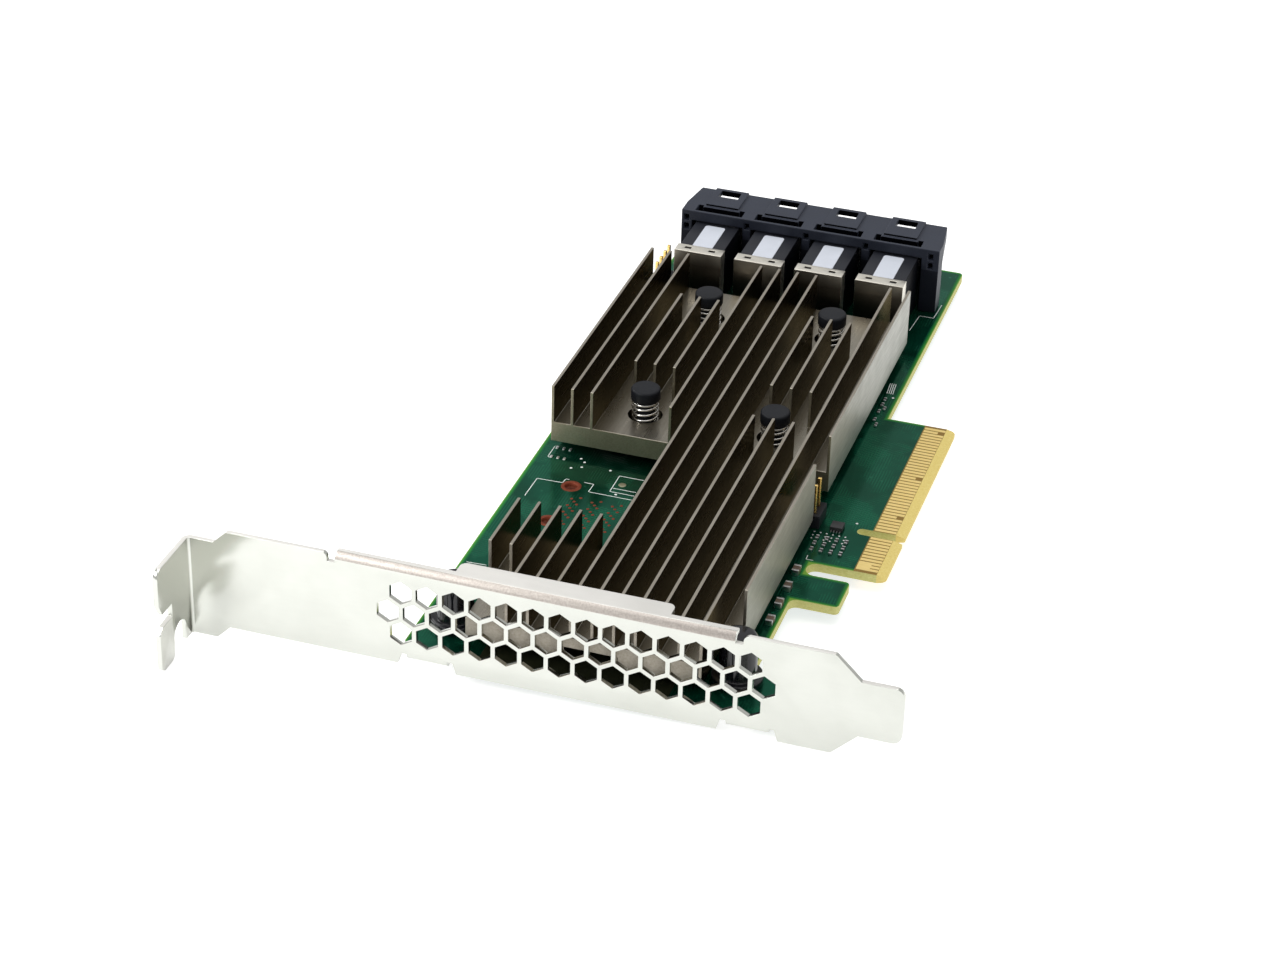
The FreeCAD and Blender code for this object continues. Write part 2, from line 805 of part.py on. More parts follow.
def build_heat_sink():
    """Extruded comb of fins, milled away over the pins, the window, the corners and the side header."""
    body = new_body("heat_sink")
    half_fin = d.fin_thickness / 2
    left = fin_x(ZERO) - half_fin
    right = fin_x(d.fin_count - 1) + half_fin
    wall_inside = fin_x(d.fin_count - 2) + half_fin
    corner_fin = around(fin_x(d.corner_column), d.fin_thickness)
    window_side = fin_x(d.window_column)
    over = d.fin_thickness
    whole_y = (sink_front, sink_rear)
    pad(body, "base", "XY_Plane", (sink_bottom, sink_floor), rectangle((left, right), whole_y))
    fin = pad(body, "fin", "XY_Plane", (sink_floor, sink_top),
              rectangle((left, left + d.fin_thickness), whole_y))
    repeat_along_x(body, fin, "fins", d.fin_count, d.fin_pitch)

    corner_y = sink_front + d.corner_cut
    header_half = d.header_pitch / 2
    notch_x = side_header_x - header_half - d.header_room
    notch_front = d.side_header_start - header_half - d.header_clearance
    pocket(body, "milled_through", "XY_Plane", (sink_bottom, sink_top),
           polygon((left - over, sink_front - over),
                   (corner_fin[1], sink_front - over),
                   (corner_fin[1], corner_y),
                   (corner_fin[0], corner_y),
                   (corner_fin[0], window_front),
                   (window_side, window_front),
                   (window_side, window_rear),
                   (left - over, window_rear)),
           rectangle((wall_inside, right + over), (sink_front - over, corner_y)),
           rectangle((notch_x, right + over), (notch_front, notch_front + d.header_notch_length)))
    left_bay = (fin_x(d.left_bay_first), fin_x(d.left_bay_last))
    right_bay = (fin_x(d.right_bay_first), fin_x(d.right_bay_last))
    rear_bay = (pin_y[1] - d.pin_bay_half, sink_rear + over)
    pocket(body, "pin_bays", "XY_Plane", (sink_floor, sink_top),
           rectangle(left_bay, (window_rear - over, pin_y[0] + d.pin_bay_half)),
           rectangle(right_bay, around(pin_y[0], d.pin_bay_half * 2)),
           rectangle(left_bay, rear_bay),
           rectangle(right_bay, rear_bay),
           rectangle((left_bay[0], left_bay[0] + d.fin_pitch), (sink_front - over, corner_y)))
    pocket(body, "front_arch", "XY_Plane", (sink_bottom, sink_bottom + d.arch_rise),
           rectangle(around(-d.arch_center, d.arch_width), (sink_front - over, sink_front + d.arch_depth)))
    pocket(body, "spring_seats", "XY_Plane", (sink_floor - d.pin_seat_depth, sink_floor),
           *[circle(x, y, d.pin_seat) for x, y in pin_places])
    pocket(body, "pin_holes", "XY_Plane", (sink_bottom, sink_floor),
           *[circle(x, y, d.pin_shaft + d.pin_clearance * 2) for x, y in pin_places])
    keep(body)


def build_controller():
    """Controller package between the board and the heat sink."""
    lid_top = d.chip_substrate + d.chip_lid
    substrate = (around(-d.pin_center_x, d.chip_side), around(chip_y, d.chip_side))
    lid = (around(-d.pin_center_x, d.chip_lid_side), around(chip_y, d.chip_lid_side))
    keep(box("controller_substrate", *substrate, (ZERO, d.chip_substrate)))
    keep(box("controller_lid", *lid, (d.chip_substrate, lid_top)))
    keep(box("thermal_pad", *lid, (lid_top, sink_bottom)))


def build_push_pin(number, x, y):
    """Push pin with a rounded cap and a split barb below the board."""
    body = new_body(f"push_pin_{number}", x, y)
    shaft = d.pin_shaft / 2
    cap = d.pin_cap / 2
    cap_low = d.pin_top - d.pin_cap_height
    point = board_bottom - d.pin_barb_length
    revolve(body, "turned_form",
            (ZERO, point),
            (d.pin_point / 2, point),
            (d.pin_barb / 2, board_bottom),
            (shaft, board_bottom),
            (shaft, cap_low),
            (cap, cap_low),
            (cap, d.pin_top),
            (ZERO, d.pin_top))
    round_rim(body, "cap_rim", d.pin_cap_round, d.pin_top)
    pocket(body, "barb_slit", "XY_Plane", (point, board_bottom),
           rectangle(around(ZERO, d.pin_slit), around(ZERO, d.pin_barb)))
    keep(body)


def build_spring(number, x, y):
    """Coil spring between the seat in the heat sink and the cap of its push pin."""
    seat = sink_floor - d.pin_seat_depth
    length = d.pin_top - d.pin_cap_height - seat
    body = new_body(f"push_pin_spring_{number}", x, y, seat)
    middle = d.spring_diameter / 2
    half_wire = d.spring_wire / 2
    flat = half_wire / 2
    profile = sketch_at(body, "wire", "XZ_Plane", ZERO, [polygon(
        (middle - flat, ZERO),
        (middle + flat, ZERO),
        (middle + half_wire, half_wire),
        (middle + flat, d.spring_wire),
        (middle - flat, d.spring_wire),
        (middle - half_wire, half_wire))])
    coil = body.newObject("PartDesign::AdditiveHelix", "coil")
    coil.Profile = profile
    coil.ReferenceAxis = (profile, ["V_Axis"])
    coil.Mode = "height-turns-angle"
    bind(coil, "Height", length - d.spring_wire)
    bind(coil, "Turns", d.spring_turns)
    document.recompute()
    keep(body)


def build_port_shroud():
    """Moulded shroud over the ports: wall with arches, thin roof, partitions, latch guides and pockets."""
    body = new_body("port_shroud")
    front = hood_front
    wall_rear = front + d.hood_wall
    rear = hood_rear
    x_range = (-d.port_center - d.hood_left_reach, -d.port_center + d.hood_right_reach)
    roof_low = d.hood_height - d.hood_roof
    guide_top = d.hood_height + d.guide_rise
    pad(body, "block", "XY_Plane", (ZERO, d.hood_height), polygon(
        (x_range[0], front), (x_range[1], front), (x_range[1], wall_rear),
        (x_range[1] - d.hood_taper, rear), (x_range[0] + d.hood_taper, rear), (x_range[0], wall_rear)))
    over = d.hood_roof
    arch_top = d.hood_height - d.hood_lintel
    bays = [around(x, d.bay_width) for x in port_x]
    pocket(body, "bays", "XY_Plane", (ZERO, roof_low),
           *[rectangle(bay, (wall_rear, rear + over)) for bay in bays])
    arch_rear = front + d.hood_arch_depth
    pocket(body, "arches", "XZ_Plane", (front, arch_rear),
           *[rectangle(bay, (-over, arch_top)) for bay in bays])
    passage = d.housing_width + d.port_clearance * 2
    pocket(body, "housing_passages", "XZ_Plane", (arch_rear, wall_rear),
           *[rectangle(around(x, passage), (-over, d.housing_height + d.port_clearance)) for x in port_x])
    slope = d.end_cut_height + d.hood_roof
    end_walls = ((x_range[0] - over, bays[0][0]), (bays[-1][1], x_range[1] + over))
    for side, span in zip(("left", "right"), end_walls):
        pocket(body, f"{side}_end_cut", "YZ_Plane", span, polygon(
            (wall_rear, -over), (rear + over, -over), (rear + over, slope + over),
            (wall_rear, d.end_cut_height)))
    guides = [around(x, d.guide_width) for x in port_x]
    pad(body, "latch_guides", "XY_Plane", (d.hood_height, guide_top),
        *[rectangle(guide, (front + d.guide_start, rear)) for guide in guides])
    window_y = (rear - d.latch_window_inset - d.latch_window_depth, rear - d.latch_window_inset)
    pocket(body, "latch_windows", "XY_Plane", (roof_low, guide_top),
           *[rectangle(around(x, d.latch_window_width), window_y) for x in port_x])
    recess_front = front + d.recess_inset
    recess_rear = recess_front + d.recess_depth
    tab_rear = recess_rear + d.recess_tab_depth
    recesses = []
    for left, right in [around(x, d.recess_width) for x in port_x]:
        recesses.append(polygon(
            (left, recess_front), (right, recess_front), (right, tab_rear),
            (right - d.recess_tab, tab_rear), (right - d.recess_tab, recess_rear),
            (left + d.recess_tab, recess_rear), (left + d.recess_tab, tab_rear), (left, tab_rear)))
    pocket(body, "latch_recesses", "XY_Plane", (d.hood_height - d.recess_sink, d.hood_height), *recesses)

    end_posts = [(x_range[0] + bays[0][0]) / 2, (bays[-1][1] + x_range[1]) / 2]
    partitions = [(bay[1] + following[0]) / 2 for bay, following in zip(bays, bays[1:])]
    upper_z = d.hood_height - d.front_pocket_drop
    lower_z = upper_z - d.front_pocket_step
    places = [(x, upper_z) for x in end_posts + partitions] + [(x, lower_z) for x in end_posts]
    pocket(body, "front_pockets", "XZ_Plane", (front, front + d.front_pocket_depth),
           *[rectangle(around(x, d.front_pocket_width), around(z, d.front_pocket_height))
             for x, z in places])
    keep(body)


def build_port(number, x):
    """One port: moulded housing with two card slots, folded back shell, blank label and contacts."""
    wall_rear = hood_front + d.hood_wall
    housing_front = port_front + d.shell_sheet
    width = around(x, d.housing_width)
    nose_z = (d.nose_low, d.nose_low + d.nose_height)
    nose_rear = wall_rear + d.nose_length
    slot_middle = d.nose_low + d.nose_height / 2
    slots = [around(slot_middle + d.slot_spacing * side / 2, d.slot_height) for side in (-1, 1)]
    slot_x = around(x, d.slot_width)
    slot_y = (nose_rear - d.slot_depth, nose_rear)

    body = new_body(f"port_housing_{number}")
    pad(body, "body_block", "XY_Plane", (ZERO, d.housing_height),
        rectangle(width, (housing_front, wall_rear)))
    pad(body, "nose", "XZ_Plane", (wall_rear, nose_rear), rectangle(around(x, d.nose_width), nose_z))
    pocket(body, "card_slots", "XZ_Plane", slot_y, *[rectangle(slot_x, slot) for slot in slots])
    keep(body)

    shell = new_body(f"port_shell_{number}")
    outer = around(x, d.housing_width + d.shell_sheet * 2)
    shell_top = d.housing_height + d.shell_sheet
    wrap_y = (port_front, port_front + d.shell_wrap)
    pad(shell, "wrap", "XY_Plane", (d.shell_side_low, shell_top), rectangle(outer, wrap_y))
    pocket(shell, "inside", "XY_Plane", (d.shell_side_low, d.housing_height),
           rectangle(width, (housing_front, wrap_y[1] + d.shell_sheet)))
    window_y = around((housing_front + wrap_y[1]) / 2, d.shell_window_depth)
    window_x = around(x, d.shell_window_spacing)
    pocket(shell, "latch_windows", "XY_Plane", (d.housing_height, shell_top),
           *[rectangle(around(place, d.shell_window_width), window_y) for place in window_x])
    keep(shell)

    label = new_body(f"port_label_{number}")
    label_y = (wrap_y[1], wrap_y[1] + d.label_length)
    label_x = around(x, d.label_width)
    pad(label, "sheet", "XY_Plane", (d.housing_height, d.housing_height + d.label_thickness),
        rectangle(label_x, label_y))
    fillet(label, "corners", d.label_corner, "z", *[(u, v) for u in label_x for v in label_y])
    keep(label)

    members = []
    for row, (floor, _) in enumerate(slots, start=1):
        for index, place in enumerate(spread(x, d.contact_pitch, "contact_count"), start=1):
            members.append(box(f"port_{number}_contact_{row}_{index}", around(place, d.contact_width),
                               slot_y, (floor, floor + d.contact_thickness)))
    keep(group(f"port_contacts_{number}", members))


def build_header(label, places, top):
    """Straight pin header: square pins through a moulded base and the board."""
    half = d.header_pitch / 2
    members = [box(f"{label}_pin_{number}", around(x, d.header_pin), around(y, d.header_pin),
                   (board_bottom - d.header_tail, top))
               for number, (x, y) in enumerate(places, start=1)]
    pins = keep(group(f"{label}_pins", members))
    x = places[0][0]
    block = box(f"{label}_block", around(x, d.header_pitch), (places[0][1] - half, places[-1][1] + half),
                (ZERO, d.header_base))
    base = document.addObject("Part::Cut", f"{label}_base")
    base.Base = block
    base.Tool = pins
    keep(base)


def build_flash_chip():
    """Eight-lead memory chip beside the card edge."""
    x_range = around(-d.flash_x, d.flash_side)
    y_range = around(d.flash_y, d.flash_side)
    lead_z = (ZERO, d.flash_lift + d.flash_lead_sheet)
    keep(box("flash_chip", x_range, y_range, (d.flash_lift, d.flash_lift + d.flash_height)))
    spans = {"front": (y_range[0] - d.flash_lead_reach, y_range[0]),
             "rear": (y_range[1], y_range[1] + d.flash_lead_reach)}
    members = []
    for side, span in spans.items():
        for index, middle in enumerate(spread(-d.flash_x, d.flash_lead_pitch, "flash_lead_count"), start=1):
            lead_x = around(middle, d.flash_lead_width)
            members.append(box(f"flash_lead_{side}_{index}", lead_x, span, lead_z))
    keep(group("flash_leads", members))


def chip_part(name, x, y, length, width, z_range, end):
    """Two-terminal chip lying along Y: its body and its two metal ends."""
    x_range = around(x, width)
    outer = around(y, length)
    inner = around(y, length - end * 2)
    middle = box(f"{name}_body", x_range, inner, z_range)
    ends = [box(f"{name}_front_end", x_range, (outer[0], inner[0]), z_range),
            box(f"{name}_rear_end", x_range, (inner[1], outer[1]), z_range)]
    return middle, ends


def build_chip_parts():
    """Rows of ceramic capacitors and resistors on both faces of the board."""
    capacitor = (d.capacitor_length, d.capacitor_width)
    upper = (ZERO, d.capacitor_height)
    lower = (board_bottom - d.capacitor_height, board_bottom)
    bodies, ends = [], []
    for index, y in enumerate(spread(d.wall_row_center, d.wall_row_pitch, "wall_row_count"), start=1):
        part = chip_part(f"wall_capacitor_{index}", -d.wall_row_edge, y, *capacitor, upper, d.capacitor_end)
        bodies.append(part[0])
        ends += part[1]
    for column, x in enumerate(spread(-d.pin_center_x, d.back_pitch, "back_count"), start=1):
        for line, y in enumerate(spread(chip_y, d.back_pitch, "back_count"), start=1):
            name = f"back_capacitor_{column}_{line}"
            part = chip_part(name, x, y, *capacitor, lower, d.capacitor_end)
            bodies.append(part[0])
            ends += part[1]
    keep(group("capacitor_bodies", bodies))
    keep(group("capacitor_ends", ends))

    resistor = (d.resistor_length, d.resistor_width)
    flat = (ZERO, d.resistor_height)
    bodies, ends = [], []
    for column, x in enumerate(spread(-d.cluster_edge, d.cluster_pitch_x, "cluster_columns"), start=1):
        for line, y in enumerate(spread(d.cluster_center, d.cluster_pitch_y, "cluster_rows"), start=1):
            part = chip_part(f"resistor_{column}_{line}", x, y, *resistor, flat, d.resistor_end)
            bodies.append(part[0])
            ends += part[1]
    keep(group("resistor_bodies", bodies))
    keep(group("resistor_ends", ends))


build_circuit_board()
build_fingers("edge_contacts_top", (ZERO, d.finger_thickness), True)
build_fingers("edge_contacts_bottom", (board_bottom - d.finger_thickness, board_bottom), False)
build_bracket()
for rivet_side in rivet_places:
    build_rivet(rivet_side)
build_heat_sink()
build_controller()
for pin_number, (place_x, place_y) in enumerate(pin_places, start=1):
    build_push_pin(pin_number, place_x, place_y)
    build_spring(pin_number, place_x, place_y)
build_port_shroud()
for port_number, place_x in enumerate(port_x, start=1):
    build_port(port_number, place_x)
build_header("rear_header", rear_header_places, d.rear_header_top)
build_header("side_header", side_header_places, d.side_header_top)
build_flash_chip()
build_chip_parts()
document.recompute()

for item in document.Objects:
    if "Invalid" in item.State or "Error" in item.State:
        raise RuntimeError(f"{item.Label} failed: {item.State}")
for piece in pieces:
    if piece.Shape.isNull() or not piece.Shape.isValid():
        raise RuntimeError(f"{piece.Label} has no valid shape")

os.makedirs("parts", exist_ok=True)
for piece in pieces:
    piece.Shape.exportStep(f"parts/{piece.Label}.step")
    print(f"{piece.Label}: {len(piece.Shape.Solids)} solids, {piece.Shape.Volume:.2f} mm3")
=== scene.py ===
# %% [markdown]
# # Dressing a storage adapter card
# The solid model already holds the card's real sizes: the board, the folded bracket, the heat sink,
# the push pins and the ports. They could all be modelled again with more detail, but then two
# models would have to agree. This lesson keeps those forms where they are and adds what a camera
# sees on top of them: finishes, softened edges, round spring wire, solder, copper and white ink.
# Every length below is written in millimetres and turned into metres at the last moment, in the
# same frame as the solids.

# %% Load the solid model
import bmesh
import bpy
import numpy as np
from mathutils import Matrix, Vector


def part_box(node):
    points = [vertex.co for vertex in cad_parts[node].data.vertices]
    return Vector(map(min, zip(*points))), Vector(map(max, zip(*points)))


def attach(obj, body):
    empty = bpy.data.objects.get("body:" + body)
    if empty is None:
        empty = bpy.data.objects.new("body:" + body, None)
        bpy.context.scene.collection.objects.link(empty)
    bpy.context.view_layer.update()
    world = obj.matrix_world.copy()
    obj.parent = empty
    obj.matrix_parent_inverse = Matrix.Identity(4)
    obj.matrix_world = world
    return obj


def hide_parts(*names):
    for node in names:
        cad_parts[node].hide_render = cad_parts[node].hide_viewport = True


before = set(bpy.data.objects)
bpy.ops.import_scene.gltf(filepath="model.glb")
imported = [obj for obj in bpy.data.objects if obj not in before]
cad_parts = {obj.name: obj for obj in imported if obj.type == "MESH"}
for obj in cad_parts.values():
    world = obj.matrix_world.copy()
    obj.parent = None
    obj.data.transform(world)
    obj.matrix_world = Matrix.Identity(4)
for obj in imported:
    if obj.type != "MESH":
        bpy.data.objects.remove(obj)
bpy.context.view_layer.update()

scene = bpy.context.scene
MM = 0.001

# %% [markdown]
# ## Short words for shader nodes
# A finish is a small network of nodes around one shader. It could be drawn by hand in the shader
# editor, but code can be read, compared and repeated. Helpers with short names keep each network
# readable: add makes a node and fills its sockets, calc does sums, and all_of and any_of join
# shares, which are values from 0 to 1 that say how much of something a place gets.

# %% Nodes and sums
def fill(tree, socket, value):
    """Give a socket a plain value, or a link where the value is another node's output."""
    if isinstance(value, bpy.types.NodeSocket):
        tree.links.new(value, socket)
    else:
        socket.default_value = value


def add(tree, kind, settings=(), **sockets):
    """New shader node with its settings and sockets; a socket's name is written with _ for a space."""
    node = tree.nodes.new("ShaderNode" + kind)
    for key, value in dict(settings).items():
        setattr(node, key, value)
    for key, value in sockets.items():
        fill(tree, node.inputs[key.replace("_", " ")], value)
    return node


def calc(tree, operation, *values):
    """Math node on up to three values."""
    node = add(tree, "Math", {"operation": operation})
    for socket, value in zip(node.inputs, values):
        fill(tree, socket, value)
    return node.outputs[0]


def joined(tree, operation, *values):
    """One operation carried through several values, such as the product or the largest of them all."""
    total = values[0]
    for value in values[1:]:
        total = calc(tree, operation, total, value)
    return total


def all_of(tree, *shares):
    """Product of shares: one only where every one of them is one."""
    return joined(tree, "MULTIPLY", *shares)


def any_of(tree, *shares):
    """Largest of the shares: one where any of them is one."""
    return joined(tree, "MAXIMUM", *shares)


print("node helpers:", ", ".join(helper.__name__ for helper in (add, calc, joined, all_of, any_of)))

# %% [markdown]
# ## Colours along a value
# Noise gives a grey value, and a real surface wanders between two of its own tones. A Mix node can
# do that, but a ramp also sets how sudden the change is, so most finishes below are two tones on a
# ramp, and Mix nodes only lay one finish over another.

# %% Mixes and ramps
def opaque(colour):
    """Grey value or colour as a colour with full opacity; a node's output stays as it is."""
    if isinstance(colour, bpy.types.NodeSocket):
        return colour
    return (colour, colour, colour, 1.0) if isinstance(colour, (int, float)) else (*colour, 1.0)


def blend(tree, factor, first, second):
    """Colour between first and second by the factor."""
    node = add(tree, "Mix", {"data_type": "RGBA"})
    for index, value in ((0, factor), (6, opaque(first)), (7, opaque(second))):
        fill(tree, node.inputs[index], value)
    return node.outputs[2]


def ramp(tree, factor, *stops):
    """Colours or greys set along a value from 0 to 1."""
    node = add(tree, "ValToRGB")
    fill(tree, node.inputs[0], factor)
    points = node.color_ramp.elements
    while len(points) < len(stops):
        points.new(1.0)
    for point, (position, colour) in zip(points, stops):
        point.position = position
        point.color = opaque(colour)
    return node.outputs[0]


NARROW, WIDE = 0.15, 0.2


def two_tone(tree, pattern, tones, spread=NARROW):
    """From a first to a second tone as a pattern rises through the middle of its range."""
    return ramp(tree, pattern, (0.5 - spread, tones[0]), (0.5 + spread, tones[1]))


print("two tones change over", 2 * NARROW, "of a pattern's range, or over", 2 * WIDE)

# %% [markdown]
# ## Patterns in millimetres
# Grain, streaks and specks have a real size, so patterns are laid out in millimetres of the card. A
# UV map could carry them, but the solids have none, and a comb of fins is hard to unwrap. Object
# coordinates need no map, and all pieces share one origin, so a pattern runs on from one piece to
# the next. The direction that a face looks in tells a cut top from a side wall.

# %% Places, directions and noise
# A face looks along an axis where that part of its direction is above this value.
SQUARE_ON = 0.7


def millimetres(tree, stretch=(1.0, 1.0, 1.0)):
    """Object coordinates in millimetres, stretched along each axis where a grain runs."""
    coordinates = add(tree, "TexCoord").outputs["Object"]
    scale = tuple(1.0 / (MM * value) for value in stretch)
    return add(tree, "Mapping", Vector=coordinates, Scale=scale).outputs[0]


def place_on_card(tree):
    """The three coordinates of a point on the card, in millimetres."""
    return add(tree, "SeparateXYZ", Vector=millimetres(tree)).outputs


def facing(tree):
    """The three parts of the direction a face looks in."""
    return add(tree, "SeparateXYZ", Vector=add(tree, "TexCoord").outputs["Normal"]).outputs


def progress(tree, value, start, end):
    """How far a value has gone on its way from start, where this is 0, to end, where it is 1."""
    return calc(tree, "MULTIPLY_ADD", value, 1.0 / (end - start), -start / (end - start))


def grain(tree, vector, size, detail=3.0, rough=0.55):
    """Cloudy noise whose blotches are about the given size in millimetres."""
    noise = add(tree, "TexNoise", Vector=vector, Scale=1.0 / size, Detail=detail, Roughness=rough)
    return noise.outputs[0]


print("pattern units in a metre:", round(1.0 / MM))

# %% One shader for each finish
def new_finish(name, **sockets):
    """Material with one principled shader whose even values are set on its own sockets."""
    material = bpy.data.materials.new(name)
    material.use_nodes = True
    tree = material.node_tree
    tree.nodes.clear()
    shader = add(tree, "BsdfPrincipled", **sockets)
    tree.links.new(shader.outputs[0], add(tree, "OutputMaterial").inputs[0])
    return material, tree, shader


def feed(tree, shader, **patterns):
    """Link patterns to the shader's sockets, whose names are written with _ for a space."""
    for key, pattern in patterns.items():
        tree.links.new(pattern, shader.inputs[key.replace("_", " ")])


def relief(tree, shader, height, depth):
    """Raise the surface by a grey pattern, to a depth in millimetres."""
    bump = add(tree, "Bump", Strength=1.0, Distance=depth * MM, Height=height)
    feed(tree, shader, Normal=bump.outputs[0])


print("materials before the card is dressed:", len(bpy.data.materials))

# %% [markdown]
# ## The outline of the board
# A board is routed out of a large panel, and the copper stops about a millimetre short of the cut,
# which leaves a lighter rim. A finish that paints the rim needs the distance to the outline. A
# vertex attribute could hold it, but the board's large faces have no points near the rim. A formula
# needs none: the board is a few overlapping rectangles, the distance inside one is the smaller of
# its two margins, and the largest over all of them is the distance inside the board.

# %% Distance inside the board
# Left, right, front and rear of each rectangle.
BOARD_RECTANGLES = (
    (-68.9, -13.4, -70.0, 101.3),
    (-68.9, -12.7, 10.0, 101.3),
    (-40.0, 0.0, -12.6, 39.6),
    (-40.0, -5.2, -24.5, -16.4),
    (-40.0, -6.0, -70.0, -46.34),
)


def inside_board(tree, x, y):
    """Distance from the outline: the largest over the rectangles of the smaller margin in x and y."""
    depths = []
    for left, right, front, rear in BOARD_RECTANGLES:
        margins = []
        for value, low, high in ((x, left, right), (y, front, rear)):
            offset = calc(tree, "ABSOLUTE", calc(tree, "SUBTRACT", value, (low + high) / 2))
            margins.append(calc(tree, "SUBTRACT", (high - low) / 2, offset))
        depths.append(calc(tree, "MINIMUM", *margins))
    return joined(tree, "MAXIMUM", *depths)


print("rectangles in the outline:", len(BOARD_RECTANGLES))

# %% [markdown]
# ## Tracks and vias under the lacquer
# Copper tracks run under the lacquer in bundles, straight or at 45 degrees, and vias show as paler
# dots. They could be drawn one by one, but at this size only their rhythm is seen. So tracks are
# bands of a wave, shown where slow noise allows, and vias sit at the middles of loosely spaced
# cells.

# %% Copper patterns
# At this scale a wave has one band in each millimetre.
ONE_WAVE = 0.314
STRAIGHT_PITCH, SLANTED_PITCH = 0.5, 0.55


def tracks(tree, vector, turn, pitch):
    """Parallel lines: a wave across a direction turned by some degrees, one band for each pitch."""
    across = add(tree, "Mapping", Vector=vector, Rotation=(0.0, 0.0, np.radians(turn))).outputs[0]
    wave = add(tree, "TexWave", {"bands_direction": "X"}, Vector=across, Scale=ONE_WAVE / pitch)
    return ramp(tree, wave.outputs["Fac"], (0.62, 0.0), (0.8, 1.0))


def copper_tracks(tree, where):
    """Straight and slanted bundles, each shown where a slow noise of its own is high."""
    straight_area = ramp(tree, grain(tree, where, 7.0), (0.5, 0.0), (0.56, 1.0))
    slanted_area = ramp(tree, grain(tree, where, 11.0), (0.52, 0.0), (0.57, 1.0))
    straight = all_of(tree, tracks(tree, where, 0, STRAIGHT_PITCH), straight_area)
    slanted = all_of(tree, tracks(tree, where, 45, SLANTED_PITCH), slanted_area)
    return any_of(tree, straight, slanted)


def small_vias(tree, where):
    """Dots at the middles of loosely spaced cells: one near the middle, zero further out."""
    distance = add(tree, "TexVoronoi", Vector=where, Scale=0.42, Randomness=0.8).outputs["Distance"]
    return ramp(tree, distance, (0.085, 1.0), (0.11, 0.0))


print("track pitches in millimetres:", STRAIGHT_PITCH, SLANTED_PITCH)

# %% [markdown]
# ## Deep places on the board
# Two places lie so deep that little light reaches them: the board under the front of the heat sink,
# and the board beside the heat sink's block in its window. Lamps alone could darken them, but this
# soft light comes from all round and reaches further in than the real one, so the finish carries a
# shade there, on the component face only.

# %% Shade by place
# Under the heat sink: middle and half width. Beside the block: where the shade starts and is full.
UNDER_SINK_X, UNDER_SINK_Y = (-40.0, 16.0), (-50.0, 12.0)
SHADE_X, SHADE_Y = (-64.5, -58.5), (-4.0, 10.0)
WINDOW_RIGHT, WINDOW_REAR = -45.0, 12.0


def deep_places(tree, x, y, upper):
    """Two shares: a rectangle under the heat sink, and a shade that grows towards its block."""
    along_x = calc(tree, "COMPARE", x, *UNDER_SINK_X)
    along_y = calc(tree, "COMPARE", y, *UNDER_SINK_Y)
    across = ramp(tree, progress(tree, x, *SHADE_X), (0.0, 0.0), (1.0, 0.8))
    behind = ramp(tree, progress(tree, y, *SHADE_Y), (0.0, 0.0), (1.0, 1.0))
    left_part = calc(tree, "LESS_THAN", x, WINDOW_RIGHT)
    front_part = calc(tree, "LESS_THAN", y, WINDOW_REAR)
    beside_block = all_of(tree, across, behind, left_part, front_part, upper)
    return all_of(tree, along_x, along_y, upper), beside_block


print("shaded under the heat sink, middle and half width:", UNDER_SINK_X, UNDER_SINK_Y)

# %% [markdown]
# ## Green lacquer, bare rim and sawn edges
# Most of the board is copper under a thin green lacquer, so it mirrors a little, in green. The rim
# and the strip around the fingers have no copper under them and look duller, and the sawn edges
# show pale yellow laminate. Each could be a material of its own, but the board's upper and lower
# sides are one large face each, so one network chooses by place and by the way a face looks.

# %% Board finish
# Widths of the rim and its fade, where the lacquer stops and the bevel starts, and the finger strip's
# middle and half length. A finish is given as its first and second tone.
RIM, RIM_FADE = 1.0, 1.3
MASK_START, BEVEL_START = -5.7, -1.65
FINGER_STRIP = (13.5, 27.0)
TURNED_UP = 0.5
MASK_GREEN = ((0.0025, 0.074, 0.040), (0.0035, 0.098, 0.054))
TRACK_GREEN, TRACK_SHARE = (0.012, 0.175, 0.09), 0.7
VIA_GREEN, VIA_SHARE = (0.03, 0.22, 0.125), 0.55
RIM_GREENS = ((0.0, (0.20, 0.40, 0.055)), (0.22, (0.025, 0.19, 0.038)), (0.7, (0.003, 0.068, 0.025)))
STRIP_YELLOW = (0.27, 0.17, 0.048)
# Colours of the painted shade under the heat sink and beside its block.
UNDER_SINK_DARK, BLOCK_DARK = (0.018, 0.020, 0.011), (0.001, 0.014, 0.006)
LAMINATE = ((0.50, 0.48, 0.16), (0.66, 0.64, 0.28))
BEVEL_YELLOW = ((0.72, 0.56, 0.17), (0.80, 0.66, 0.25))
COPPER_MIRROR, COPPER_RELIEF, SAWN_ROUGHNESS = 0.8, 0.012, 0.6


def sawn_edges(tree, x, flat):
    """Share of sawn or ground edge, and its colour: laminate fibres, yellower on the finger bevel."""
    ground = calc(tree, "GREATER_THAN", x, BEVEL_START)
    fibre = grain(tree, millimetres(tree, (0.4, 0.4, 0.12)), 1.0, detail=4.0)
    laminate = two_tone(tree, fibre, LAMINATE, WIDE)
    colour = blend(tree, ground, laminate, two_tone(tree, fibre, BEVEL_YELLOW, WIDE))
    return any_of(tree, calc(tree, "SUBTRACT", 1.0, flat), ground), colour


